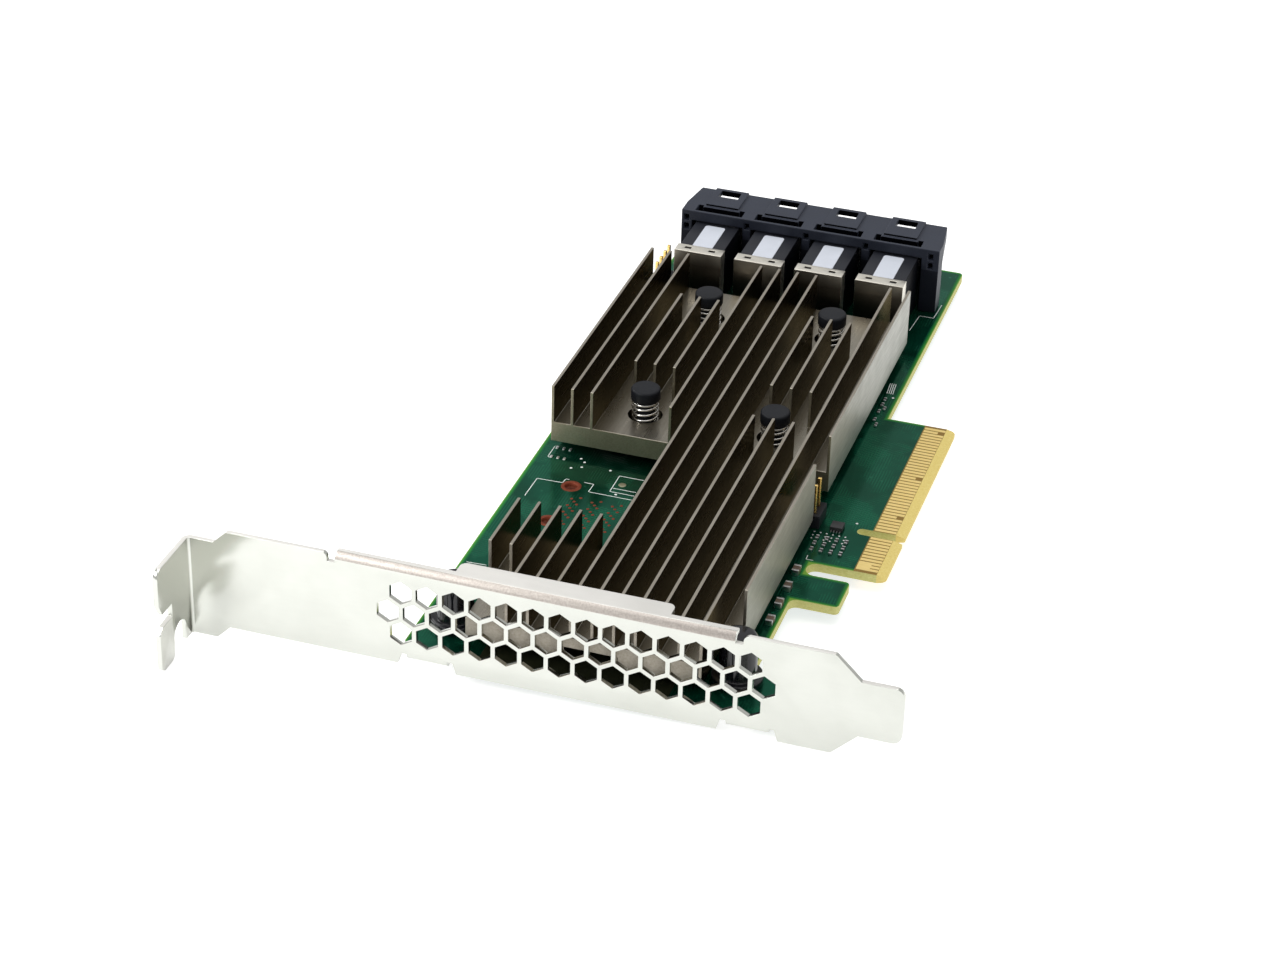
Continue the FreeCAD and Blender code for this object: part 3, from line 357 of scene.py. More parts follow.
def board_finish():
    """Green lacquer over copper, lighter rim, bare strip, sawn edges and painted shade in deep places.
    """
    material, tree, shader = new_finish("green_solder_mask", Specular_IOR_Level=0.06)
    where = millimetres(tree)
    x, y, _ = place_on_card(tree)
    upward = facing(tree)[2]
    flat = calc(tree, "GREATER_THAN", calc(tree, "ABSOLUTE", upward), TURNED_UP)
    upper = calc(tree, "GREATER_THAN", upward, TURNED_UP)
    depth = inside_board(tree, x, y)
    copper = copper_tracks(tree, where)
    vias = small_vias(tree, where)
    rim = ramp(tree, calc(tree, "DIVIDE", depth, RIM), (0.55, 1.0), (1.0, 0.0))
    opened = all_of(tree, calc(tree, "GREATER_THAN", x, MASK_START),
                    calc(tree, "COMPARE", y, *FINGER_STRIP))
    under_sink, beside_block = deep_places(tree, x, y, upper)
    sawn, edge = sawn_edges(tree, x, flat)

    colour = two_tone(tree, grain(tree, where, 9.0, detail=2.0), MASK_GREEN)
    colour = blend(tree, calc(tree, "MULTIPLY", copper, TRACK_SHARE), colour, TRACK_GREEN)
    colour = blend(tree, calc(tree, "MULTIPLY", vias, VIA_SHARE), colour, VIA_GREEN)
    rim_colour = ramp(tree, calc(tree, "DIVIDE", depth, RIM_FADE), *RIM_GREENS)
    colour = blend(tree, rim, colour, rim_colour)
    colour = blend(tree, opened, colour, STRIP_YELLOW)
    # Painted shade under the heat sink and beside its block.
    colour = blend(tree, under_sink, colour, UNDER_SINK_DARK)
    colour = blend(tree, beside_block, colour, BLOCK_DARK)
    colour = blend(tree, sawn, colour, edge)
    # Bare places do not mirror, and the painted shade under the heat sink takes the mirroring away.
    bare_or_painted_shade = any_of(tree, sawn, rim, opened, under_sink)
    gloss = ramp(tree, grain(tree, where, 0.8), (0.3, 0.1), (0.75, 0.2))
    feed(tree, shader, Base_Color=colour,
         Roughness=any_of(tree, gloss, calc(tree, "MULTIPLY", sawn, SAWN_ROUGHNESS)),
         Metallic=calc(tree, "MULTIPLY_ADD", bare_or_painted_shade, -COPPER_MIRROR, COPPER_MIRROR))
    relief(tree, shader, all_of(tree, any_of(tree, copper, vias), flat), COPPER_RELIEF)
    return material


green_mask = board_finish()
print("board finish nodes:", len(green_mask.node_tree.nodes))

# %% [markdown]
# ## Bracket sheet
# The bracket is punched and folded from thin steel and plated bright. Rolling leaves a faint grain
# along its length, and the press stretches the outside of the top bend, which turns dull. Level
# faces, the ear and the bend carry tones of their own that are painted light: a painted reflection
# on level faces, painted shade on the ear and a warm painted reflection along the bend.
# An image of brushed steel could be laid on it, but noise stretched along the grain never repeats
# and has no seam. All the metals below are that same idea, with other sizes and colours.

# %% Streaks, and the finish of the bracket
# Along the bracket, the flange's middle and half length, and where the neck ends. A face on the bend
# looks forwards and partly up; a level face looks straight up.
FLANGE, NECK_END = (-46.6, 33.4), -100.0
BEND_FORWARD, BEND_UP, STRAIGHT_UP = -0.12, (0.58, 0.38), 0.97
DULL_ROUGHNESS, LEVEL_METAL = 0.55, 0.4
STREAK_WIDTH = 0.35
# The level, ear and bend tones are painted light: a painted reflection on level faces, painted shade on
# the ear and a warm painted reflection along the bend.
SHEET = ((0.60, 0.612, 0.565), (0.64, 0.652, 0.605))
LEVEL_PAINTED_REFLECTION = ((0.62, 0.607, 0.575), (0.68, 0.667, 0.635))
EAR_PAINTED_SHADE = ((0.51, 0.515, 0.465), (0.55, 0.555, 0.505))
BEND_PAINTED_REFLECTION = ((0.45, 0.405, 0.37), (0.62, 0.575, 0.53))


def streaks(tree, along, blotch, share=0.55):
    """Fine noise stretched along a grain direction, and its share mixed with a slow cloudy noise."""
    fine = grain(tree, millimetres(tree, along), STREAK_WIDTH, detail=4.0, rough=0.6)
    cloud = grain(tree, millimetres(tree), blotch, detail=4.0)
    cloud_part = calc(tree, "MULTIPLY", cloud, 1.0 - share)
    return fine, calc(tree, "MULTIPLY_ADD", fine, share, cloud_part)


def bracket_finish():
    """Bright grained sheet; painted reflections on the dull level faces and bend, painted shade on the
    ear.
    """
    material, tree, shader = new_finish("bright_plated_sheet")
    fine, mixed = streaks(tree, (14.0, 1.0, 1.0), 9.0, share=0.2)
    to_right, to_rear, to_top = facing(tree)
    along = place_on_card(tree)[0]
    level = calc(tree, "GREATER_THAN", to_top, STRAIGHT_UP)
    ear = all_of(tree, calc(tree, "GREATER_THAN", to_right, SQUARE_ON),
                 calc(tree, "LESS_THAN", along, NECK_END))
    bent = all_of(tree, calc(tree, "LESS_THAN", to_rear, BEND_FORWARD),
                  calc(tree, "COMPARE", to_top, *BEND_UP), calc(tree, "COMPARE", along, *FLANGE))
    speckle = grain(tree, millimetres(tree), 0.3)
    # Painted reflections on level faces and along the bend, painted shade on the ear.
    colour = blend(tree, level, two_tone(tree, mixed, SHEET), two_tone(tree, mixed, LEVEL_PAINTED_REFLECTION))
    colour = blend(tree, ear, colour, two_tone(tree, mixed, EAR_PAINTED_SHADE))
    colour = blend(tree, bent, colour, two_tone(tree, speckle, BEND_PAINTED_REFLECTION, WIDE))
    gloss = two_tone(tree, mixed, (0.25, 0.19), WIDE)
    dull = calc(tree, "MULTIPLY", any_of(tree, bent, level), DULL_ROUGHNESS)
    feed(tree, shader, Base_Color=colour, Roughness=any_of(tree, gloss, dull),
         Metallic=calc(tree, "MULTIPLY_ADD", level, LEVEL_METAL - 1.0, 1.0))
    relief(tree, shader, fine, 0.001)
    return material


bracket_sheet = bracket_finish()
print("bracket finish nodes:", len(bracket_sheet.node_tree.nodes))

# %% [markdown]
# ## Extruded heat sink
# The heat sink is pushed through a die as one long comb and then milled, so its streaks run along
# the fins. Cut tops are pale. The channels between the fins are brown and dim with painted shade, as
# are the floor between the fins and the cut ends inside the window, and the channels' reflections
# get a brown tint of painted shade. The outer walls are dull, with painted light that grows towards
# the rear. Each kind of face could be picked by hand and given its own material, but there are
# hundreds; the way a face looks and the place where it lies pick them all at once.

# %% Heat sink finish
SINK_MIDDLE, SINK_HALF = -41.3, 25.34
SINK_FRONT, SINK_REAR = -54.9, 67.1
FIN_TOPS, WINDOW_MIDDLE = 12.0, 0.0
END_DULLING = 0.22
CUT_TOP = ((0.36, 0.325, 0.265), (0.49, 0.45, 0.385))
# Every tone below but the cut top's is painted light: painted shade on the inner ends, in the channels
# and on the floor between the fins, and on the outer walls a painted light that is dimmer at the front
# and brighter at the rear. The brown reflection tint in the channels is painted shade as well.
INNER_END_SHADE = ((0.25, 0.225, 0.16), (0.34, 0.31, 0.23))
CHANNEL_PAINTED_SHADE = ((0.098, 0.081, 0.055), (0.135, 0.113, 0.081))
SHADED_FRONT_WALL = ((0.245, 0.245, 0.205), (0.35, 0.35, 0.30))
LIT_REAR_WALL = ((0.36, 0.36, 0.33), (0.52, 0.52, 0.485))
FLOOR_SHADE = ((0.29, 0.265, 0.22), (0.39, 0.365, 0.305))
WHITE, CHANNEL_REFLECTION_SHADE = (1.0, 1.0, 1.0), (0.63, 0.58, 0.47)


def heat_sink_finish():
    """Streaked alloy, pale on cut tops, dull on walls and ends; painted shade inside, painted light on
    walls.
    """
    material, tree, shader = new_finish("extruded_aluminium", Metallic=1.0)
    fine, mixed = streaks(tree, (1.0, 22.0, 1.0), 6.0)
    x, y, z = place_on_card(tree)
    to_right, to_rear, to_top = facing(tree)
    sideways = calc(tree, "GREATER_THAN", calc(tree, "ABSOLUTE", to_right), SQUARE_ON)
    from_middle = calc(tree, "ABSOLUTE", calc(tree, "SUBTRACT", x, SINK_MIDDLE))
    outer = all_of(tree, sideways, calc(tree, "GREATER_THAN", from_middle, SINK_HALF))
    floor = all_of(tree, calc(tree, "GREATER_THAN", to_top, SQUARE_ON),
                   calc(tree, "LESS_THAN", z, FIN_TOPS))
    cut_end = calc(tree, "LESS_THAN", to_rear, -SQUARE_ON)
    inner_end = all_of(tree, cut_end, calc(tree, "GREATER_THAN", y, WINDOW_MIDDLE))
    rearward = ramp(tree, progress(tree, y, SINK_FRONT, SINK_REAR), (0.1, 0.0), (0.95, 1.0))

    # Painted light on the walls and painted shade in the channels, on the inner ends and on the floor.
    wall = blend(tree, rearward, two_tone(tree, mixed, SHADED_FRONT_WALL), two_tone(tree, mixed, LIT_REAR_WALL))
    side = blend(tree, outer, two_tone(tree, mixed, CHANNEL_PAINTED_SHADE), wall)
    cut = blend(tree, inner_end, two_tone(tree, mixed, CUT_TOP), two_tone(tree, mixed, INNER_END_SHADE))
    colour = blend(tree, sideways, cut, side)
    colour = blend(tree, floor, colour, two_tone(tree, mixed, FLOOR_SHADE))
    gloss = two_tone(tree, mixed, (0.34, 0.24), WIDE)
    dull = calc(tree, "MULTIPLY", any_of(tree, outer, cut_end), END_DULLING)
    # Reflections in the channels get a brown tint, a painted shade.
    feed(tree, shader, Base_Color=colour, Roughness=calc(tree, "ADD", gloss, dull),
         Specular_Tint=blend(tree, calc(tree, "SUBTRACT", sideways, outer), WHITE, CHANNEL_REFLECTION_SHADE))
    relief(tree, shader, fine, 0.0015)
    return material


extrusion = heat_sink_finish()
print("heat sink finish nodes:", len(extrusion.node_tree.nodes))

# %% [markdown]
# ## Port shells
# The back shell of each port is thin sheet, duller and browner than the bracket. Its front face
# looks into a narrow gap and grows darker towards the board. Darkness in a gap could be left to the
# lamps, but the gap is open to the pale sky above, so the face is shaded by its height.

# %% Shell finish
SHELL_TOP = 11.3
SHELL_SHEET = ((0.72, 0.69, 0.61), (0.84, 0.81, 0.73))
SHELL_GAP = ((0.4, (0.06, 0.053, 0.042)), (0.75, (0.12, 0.105, 0.085)), (0.96, (0.36, 0.33, 0.275)))


def shell_finish():
    """Thin brown-grey sheet, dark on the faces that look into the gap in front of the ports."""
    material, tree, shader = new_finish("brown_grey_sheet", Metallic=1.0)
    fine, mixed = streaks(tree, (1.0, 1.0, 8.0), 6.0)
    front = calc(tree, "LESS_THAN", facing(tree)[1], -SQUARE_ON)
    shaded = ramp(tree, calc(tree, "DIVIDE", place_on_card(tree)[2], SHELL_TOP), *SHELL_GAP)
    feed(tree, shader, Base_Color=blend(tree, front, two_tone(tree, mixed, SHELL_SHEET), shaded),
         Roughness=two_tone(tree, mixed, (0.42, 0.3), WIDE))
    relief(tree, shader, fine, 0.004)
    return material


shell_sheet = shell_finish()
print("shell finish nodes:", len(shell_sheet.node_tree.nodes))

# %% [markdown]
# ## Wire, tin, solder, gold and copper
# The small metal parts need no shade by place. Gold on the fingers is thin and a little matt from
# being plugged in, copper under clear lacquer looks red-brown, and tin and solder are cloudy. One
# plain metal could serve them all, but their blotches differ in size, so one function takes two
# tones, a grain direction and two glosses.

# %% Small metal finishes
EVEN, LENGTHWISE = (1.0, 1.0, 1.0), (9.0, 1.0, 1.0)


def streaked_metal(name, tones, along, gloss, blotch=6.0, **sockets):
    """Metal whose colour and gloss follow noise stretched along a grain direction."""
    material, tree, shader = new_finish(name, **{"Metallic": 1.0, **sockets})
    fine, mixed = streaks(tree, along, blotch)
    feed(tree, shader, Base_Color=two_tone(tree, mixed, tones),
         Roughness=two_tone(tree, mixed, gloss, WIDE))
    relief(tree, shader, fine, 0.004)
    return material


spring_wire = streaked_metal("drawn_wire", ((0.70, 0.68, 0.64), (0.86, 0.84, 0.80)), EVEN, (0.3, 0.2))
tinned = streaked_metal("tinned_ends", ((0.42, 0.42, 0.42), (0.68, 0.68, 0.68)), EVEN,
                        (0.42, 0.25), blotch=0.6)
solder = streaked_metal("bright_solder", ((0.70, 0.70, 0.70), (0.88, 0.88, 0.88)), EVEN,
                        (0.4, 0.25), blotch=0.6)
dull_tin = streaked_metal("dull_tin", ((0.27, 0.26, 0.17), (0.40, 0.38, 0.27)), EVEN,
                          (0.5, 0.35), blotch=0.6)
finger_gold = streaked_metal("finger_gold", ((0.85, 0.645, 0.23), (0.94, 0.73, 0.295)), LENGTHWISE,
                             (0.55, 0.42), blotch=3.0, Metallic=0.5)
gold_plate = streaked_metal("gold_plate", ((0.72, 0.46, 0.13), (0.90, 0.66, 0.26)), LENGTHWISE,
                            (0.34, 0.22), blotch=3.0)
red_copper = streaked_metal("lacquered_copper", ((0.14, 0.029, 0.014), (0.215, 0.052, 0.027)), EVEN,
                            (0.5, 0.38), blotch=0.8, Metallic=0.35, Specular_IOR_Level=0.1)
small_metals = (spring_wire, tinned, solder, dull_tin, finger_gold, gold_plate, red_copper)
print("small metals:", ", ".join(metal.name for metal in small_metals))

# %% [markdown]
# ## Shade on the ports
# Four cable ports stand side by side under one moulded shroud, and the spaces between and inside
# them are deep. A darker copy of the plastic on chosen faces would do, but the faces are easily
# told apart by their direction and place, so two small functions give the share of shade for the
# shroud and for the housings.

# %% Shroud and housing shade
RECESS_FLOOR, LEG_TOP, SHROUD_FRONT = 12.0, 9.0, 82.8
BEAM_SHADE, LEG_SHADE, WALL_SHADE = 0.45, 0.3, 0.85


def sunk(tree):
    """One inside the shroud, on recess floors and faces set back; less on its front beam and legs."""
    _, y, z = place_on_card(tree)
    _, to_rear, to_top = facing(tree)
    recess = all_of(tree, calc(tree, "GREATER_THAN", to_top, SQUARE_ON),
                    calc(tree, "COMPARE", z, RECESS_FLOOR, 0.5))
    legs = calc(tree, "MULTIPLY_ADD", calc(tree, "LESS_THAN", z, LEG_TOP), LEG_SHADE, BEAM_SHADE)
    set_back = any_of(tree, calc(tree, "GREATER_THAN", y, SHROUD_FRONT + 0.5), legs)
    return any_of(tree, recess, all_of(tree, set_back, calc(tree, "LESS_THAN", to_rear, -SQUARE_ON)))


def side_walls(tree):
    """Near one on faces that look sideways, into the narrow gaps between the ports."""
    sideways = calc(tree, "GREATER_THAN", calc(tree, "ABSOLUTE", facing(tree)[0]), SQUARE_ON)
    return calc(tree, "MULTIPLY", sideways, WALL_SHADE)


print("shade on beam, legs and housing sides:", BEAM_SHADE, BEAM_SHADE + LEG_SHADE, WALL_SHADE)

# %% [markdown]
# ## Plastics, paper, ceramic and ink
# Moulded plastic is never quite black or quite smooth: a fine grain breaks up its gloss. The rivets
# are polished, the ports and pin caps are matt with a cold tint. Labels are coated paper, the chip
# parts are baked ceramic, and the printed ink is a dull white. Plain colours could pass from far
# away, but close up it is the grain that tells them apart, so one function takes two tones, the
# grain's size, two glosses and the depth of the relief.

# %% Grained finishes
NEAR_BLACK, DEEP_GLOSS = (0.001, 0.001, 0.002), 0.02


def grained(name, tones, size, gloss, depth, shade=None, **sockets):
    """Non-metal whose colour and gloss follow a fine even noise, near black where it is shaded."""
    material, tree, shader = new_finish(name, **sockets)
    where = millimetres(tree)
    fine = grain(tree, where, size, detail=4.0, rough=0.6)
    broad = grain(tree, where, size * 25, detail=2.0)
    mixed = calc(tree, "MULTIPLY_ADD", fine, 0.6, calc(tree, "MULTIPLY", broad, 0.4))
    colour = two_tone(tree, mixed, tones, WIDE)
    if shade:
        dark_share = shade(tree)
        colour = blend(tree, dark_share, colour, NEAR_BLACK)
        shine = ramp(tree, dark_share, (0.0, sockets["Specular_IOR_Level"]), (1.0, DEEP_GLOSS))
        feed(tree, shader, Specular_IOR_Level=shine)
    feed(tree, shader, Base_Color=colour, Roughness=two_tone(tree, mixed, gloss, WIDE))
    relief(tree, shader, fine, depth)
    return material


port_plastic = grained("moulded_port_black", ((0.021, 0.025, 0.039), (0.034, 0.040, 0.058)), 0.14,
                       (0.4, 0.56), 0.008, shade=sunk, Specular_IOR_Level=0.25)
housing_plastic = grained("moulded_housing_black", ((0.010, 0.011, 0.016), (0.019, 0.021, 0.028)), 0.14,
                          (0.4, 0.56), 0.008, shade=side_walls, Specular_IOR_Level=0.3)
pin_plastic = grained("moulded_pin_black", ((0.007, 0.008, 0.010), (0.015, 0.016, 0.020)), 0.1,
                      (0.4, 0.55), 0.008, Specular_IOR_Level=0.16)
rivet_plastic = grained("polished_black", ((0.004, 0.004, 0.006), (0.008, 0.008, 0.011)), 0.3,
                        (0.05, 0.1), 0.001, Specular_IOR_Level=0.5)
chip_plastic = grained("chip_moulding", ((0.012, 0.012, 0.013), (0.028, 0.028, 0.03)), 0.05,
                       (0.45, 0.6), 0.004)
label_paper = grained("coated_paper", ((0.54, 0.57, 0.63), (0.60, 0.63, 0.70)), 0.08,
                      (0.5, 0.65), 0.004)
brown_ceramic = grained("brown_ceramic", ((0.07, 0.042, 0.026), (0.13, 0.08, 0.05)), 0.12,
                        (0.4, 0.55), 0.004)
substrate = grained("package_laminate", ((0.01, 0.07, 0.035), (0.02, 0.10, 0.05)), 0.2,
                    (0.35, 0.45), 0.004)
soft_pad = grained("thermal_sheet", ((0.25, 0.25, 0.28), (0.35, 0.35, 0.38)), 0.2,
                   (0.8, 0.9), 0.01)
white_ink = grained("white_ink", ((0.70, 0.72, 0.70), (0.86, 0.87, 0.85)), 0.07,
                    (0.5, 0.65), 0.003)
plastics = (port_plastic, housing_plastic, pin_plastic, rivet_plastic, chip_plastic)
coatings = (label_paper, brown_ceramic, substrate, soft_pad, white_ink)
print("grained finishes:", ", ".join(finish.name for finish in plastics + coatings))

# %% [markdown]
# ## Finishes for the solids
# A solid whose form is already right only needs its finish. It could be given piece by piece, but
# four ports and four pins share their finishes, so a table gives each name, or the start of a name,
# its material. The first entry that fits is used, so a longer name stands before a shorter one.

# %% Dress the solids
FINISH_OF = {
    "circuit_board": green_mask,
    "edge_contacts": finger_gold,
    "bracket_rivet": rivet_plastic,
    "bracket": bracket_sheet,
    "heat_sink": extrusion,
    "controller_substrate": substrate,
    "controller_lid": shell_sheet,
    "thermal_pad": soft_pad,
    "push_pin_spring": spring_wire,
    "push_pin": pin_plastic,
    "port_shroud": port_plastic,
    "port_housing": housing_plastic,
    "port_shell": shell_sheet,
    "port_label": label_paper,
    "port_contacts": gold_plate,
    "rear_header_pins": gold_plate,
    "side_header_pins": gold_plate,
    "rear_header_base": pin_plastic,
    "side_header_base": pin_plastic,
    "flash_chip": chip_plastic,
    "flash_leads": tinned,
    "capacitor_bodies": brown_ceramic,
    "capacitor_ends": tinned,
    "resistor_bodies": chip_plastic,
    "resistor_ends": tinned,
}


def finish_for(node_name):
    """Material of the first entry whose name starts the node's name."""
    return next(material for start, material in FINISH_OF.items() if node_name.startswith(start))


for node_name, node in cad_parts.items():
    node.data.materials.clear()
    node.data.materials.append(finish_for(node_name))
print("dressed", len(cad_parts), "solids")

# %% [markdown]
# ## Softened edges
# No sheared, milled or moulded edge is perfectly sharp, and it is the thin bright line along an
# edge that makes metal look like metal. A shader can fake it, but then the outline stays sharp.
# Here a copy of the solid's mesh is merged into clean faces and gets a narrow bevel, and the copy
# then stands for the solid. The widths are what each process leaves: more on mouldings, less on
# sheet.

# %% Width of each softened edge
FOUR = range(1, 5)
EDGE_WIDTHS = {"heat_sink": 0.09, "bracket": 0.07, "port_shroud": 0.16, "circuit_board": 0.05}
EDGE_WIDTHS.update({f"port_housing_{n}": 0.14 for n in FOUR})
EDGE_WIDTHS.update({f"port_shell_{n}": 0.06 for n in FOUR})
EDGE_WIDTHS.update({f"push_pin_{n}": 0.3 for n in FOUR})
EDGE_WIDTHS.update({"bracket_rivet_left": 0.14, "bracket_rivet_right": 0.14, "flash_chip": 0.06})
EDGE_WIDTHS.update({f"{side}_header_{part}": 0.12
                    for side in ("rear", "side") for part in ("base", "pins")})
EDGE_WIDTHS.update({f"{kind}_{part}": 0.05
                    for kind in ("capacitor", "resistor") for part in ("bodies", "ends")})
print("edges from", min(EDGE_WIDTHS.values()), "to", max(EDGE_WIDTHS.values()), "mm wide")

# %% Bevelled copies of the main forms
PIERCED = {"port_shroud"}
FLAT_FACED = {"port_shroud", "circuit_board", "heat_sink"}
SHARP_TURN = np.radians(35)
ALMOST_FLAT = np.radians(0.5)


def place(piece):
    """Put a piece into the scene, riding on the card."""
    scene.collection.objects.link(piece)
    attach(piece, "root")
    return piece


def softened(node_name, width):
    """Merged copy of a solid with a bevel of the width on every edge that makes a sharp turn."""
    curved = node_name not in FLAT_FACED
    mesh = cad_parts[node_name].data.copy()
    mesh.name = f"{node_name}_soft"
    build = bmesh.new()
    build.from_mesh(mesh)
    bmesh.ops.remove_doubles(build, verts=build.verts, dist=1e-6)
    if node_name not in PIERCED:
        bmesh.ops.dissolve_limit(build, angle_limit=ALMOST_FLAT, verts=build.verts, edges=build.edges)
    build.to_mesh(mesh)
    build.free()
    mesh.polygons.foreach_set("use_smooth", np.full(len(mesh.polygons), curved))
    piece = place(bpy.data.objects.new(mesh.name, mesh))
    bevel = piece.modifiers.new("edge_round", "BEVEL")
    bevel.width = width * MM
    bevel.segments = 2
    bevel.limit_method = "ANGLE"
    bevel.angle_limit = SHARP_TURN
    bevel.harden_normals = curved
    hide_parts(node_name)


for node_name, width in EDGE_WIDTHS.items():
    softened(node_name, width)
print("softened", len(EDGE_WIDTHS), "solids")

# %% [markdown]
# ## From arrays to pieces
# The smallest pieces of the card are new surfaces. They could start from Blender's own primitives,
# but numpy works out a whole surface, with all its copies, at once. A surface that is a function of
# two parameters gives a grid of points, and the faces of a grid follow from its row and column
# numbers alone. Points that fall together at a seam or a pole are merged, so each piece is closed.

# %% Grid faces and finished pieces
def grid_quads(rows, columns):
    """Faces of a grid of points: each joins a point to its right, upper right and upper neighbours."""
    r, c = np.meshgrid(np.arange(rows - 1), np.arange(columns - 1), indexing="ij")
    start = r * columns + c
    corners = [start, start + 1, start + columns + 1, start + columns]
    return np.stack(corners, axis=-1).reshape(-1, 4)


def repeated(quads, count, points_each):
    """Faces of many equal copies: the same faces, moved on by the points of the copies before."""
    return (quads[None] + np.arange(count)[:, None, None] * points_each).reshape(-1, 4)


def new_piece(name, points, quads, finish, slot, smooth=True):
    """Mesh from points in millimetres and quads, with seams and poles merged and faces outwards."""
    mesh = bpy.data.meshes.new(name)
    mesh.vertices.add(len(points))
    mesh.vertices.foreach_set("co", (np.asarray(points) * MM).astype(np.float32).ravel())
    mesh.loops.add(quads.size)
    mesh.loops.foreach_set("vertex_index", quads.astype(np.int32).ravel())
    mesh.polygons.add(len(quads))
    mesh.polygons.foreach_set("loop_start", np.arange(0, quads.size, 4, dtype=np.int32))
    mesh.update(calc_edges=True)
    build = bmesh.new()
    build.from_mesh(mesh)
    bmesh.ops.remove_doubles(build, verts=build.verts, dist=1e-7)
    bmesh.ops.recalc_face_normals(build, faces=build.faces)
    build.to_mesh(mesh)
    build.free()
    mesh.polygons.foreach_set("use_smooth", np.full(len(mesh.polygons), smooth))
    mesh.materials.append(finish)
    print(f"{name}: {len(mesh.vertices)} points, {len(mesh.polygons)} faces")
    return place(bpy.data.objects.new(name, mesh))


print("a grid of 3 by 4 points has", len(grid_quads(3, 4)), "faces")

# %% [markdown]
# ## Push-pin springs
# Each push pin is held down by a coil spring of round wire, whose end turns lie closed and flat. A
# screw modifier could turn a circle into a coil, but its pitch is even from end to end. Here the
# angle is the parameter and the height is a function of it, a slow start, an even climb and a slow
# end, and a circle is carried along that path.

# %% Round wire along a path
def swept(path, radius, sides=10):
    """Round wire: a circle of the radius carried along a path, square to it, both ends drawn shut."""
    path = np.asarray(path, float)
    ahead = np.gradient(path, axis=0)
    ahead /= np.linalg.norm(ahead, axis=1, keepdims=True)
    side = np.cross(ahead, [0.0, 0.0, 1.0])
    side /= np.linalg.norm(side, axis=1, keepdims=True)
    lift = np.cross(side, ahead)
    t = np.linspace(0, 2 * np.pi, sides + 1)[None, :, None]
    rings = path[:, None] + radius * (np.cos(t) * side[:, None] + np.sin(t) * lift[:, None])
    first, last = (np.repeat(path[index][None, None], sides + 1, axis=1) for index in (0, -1))
    rings = np.concatenate([first, rings, last])
    return rings.reshape(-1, 3), grid_quads(len(rings), sides + 1)


straight_wire = swept([(0.0, 0.0, 0.0), (1.0, 0.0, 0.0)], 0.1)
print("a straight wire has", len(straight_wire[1]), "faces")

# %% Coil the wire
SPRING_TURNS = 6.5
STEPS_IN_TURN = 28
WIRE = 0.42
CLOSED_SHARE = 0.16


def coil(low, high, radius):
    """Helix: radius at angle t, height eased from low to high so that both end turns lie flat."""
    s = np.linspace(0, 1, int(SPRING_TURNS * STEPS_IN_TURN))
    eased = np.clip((s - CLOSED_SHARE) / (1 - 2 * CLOSED_SHARE), 0, 1)
    closed = np.clip(s / CLOSED_SHARE, 0, 1) + np.clip((s - 1) / CLOSED_SHARE + 1, 0, 1)
    height = low + WIRE / 2 + (high - low - 3 * WIRE) * eased + WIRE * closed
    t = 2 * np.pi * SPRING_TURNS * s
    return np.column_stack([radius * np.cos(t), radius * np.sin(t), height])


for number in FOUR:
    low, high = (np.array(corner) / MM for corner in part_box(f"push_pin_spring_{number}"))
    middle = (low + high) / 2
    path = coil(low[2], high[2], (high[0] - low[0] - WIRE) / 2) + [middle[0], middle[1], 0.0]
    spring = new_piece(f"spring_wire_{number}", *swept(path, WIRE / 2), spring_wire, "plated_steel")
    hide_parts(f"push_pin_spring_{number}")

# %% [markdown]
# ## Copper: vias and ringed holes
# In the window of the heat sink the board shows a lattice of small red-brown vias and two large
# plated holes with broad rings. They could be drawn in the board's finish, but they stand a few
# hundredths of a millimetre proud and catch the light, so each is a profile turned about an upright
# axis. The lattice steps aside by a third of its width with each row, which one index grid gives.

# %% Turned forms
def turned(profile, centers, steps=20):
    """Profile of (radius, height) turned about upright axes: x + r cos t, y + r sin t, z + h."""
    profile, centers = np.asarray(profile, float), np.asarray(centers, float)
    t = np.linspace(0, 2 * np.pi, steps + 1)
    ring = np.stack([profile[:, :1] * np.cos(t), profile[:, :1] * np.sin(t),
                     np.broadcast_to(profile[:, 1:], (len(profile), len(t)))], axis=-1)
    points = centers[:, None, None, :] + ring[None]
    each = ring.shape[0] * ring.shape[1]
    return points.reshape(-1, 3), repeated(grid_quads(*ring.shape[:2]), len(centers), each)


VIA = [(0.0, -0.05), (0.29, -0.05), (0.29, 0.018), (0.22, 0.026), (0.14, 0.02), (0.0, 0.008)]
print("one via has", len(turned(VIA, [(0.0, 0.0, 0.0)], steps=14)[1]), "faces")

# %% Via lattice and hole rings
LATTICE_X, LATTICE_Y, LATTICE_REAR = -57.85, -7.06, -6.0
GROUP_PITCH, LINE_PITCH = 3.74, 2.28
STEP_X, STEP_Y = 0.71, 0.77
group, line, step = np.meshgrid(np.arange(3), np.arange(-1, 5), np.arange(3), indexing="ij")
via_x = LATTICE_X + GROUP_PITCH * group + STEP_X * step
via_y = LATTICE_Y - LINE_PITCH * line - STEP_Y * step
via_places = np.column_stack([via_x.ravel(), via_y.ravel(), np.zeros(via_x.size)])
via_places = via_places[via_places[:, 1] < LATTICE_REAR]
new_piece("copper_vias", *turned(VIA, via_places, steps=14), red_copper, "gold")

RING = [(1.16, -1.5), (1.16, 0.02), (1.3, 0.045), (1.7, 0.045), (1.82, 0.02), (1.84, -0.05),
        (1.19, -0.06), (1.19, -1.5), (1.16, -1.5)]
hole_places = [(-59.3, -15.3, 0.0), (-59.3, -3.1, 0.0)]
new_piece("hole_rings", *turned(RING, hole_places, steps=40), red_copper, "gold")

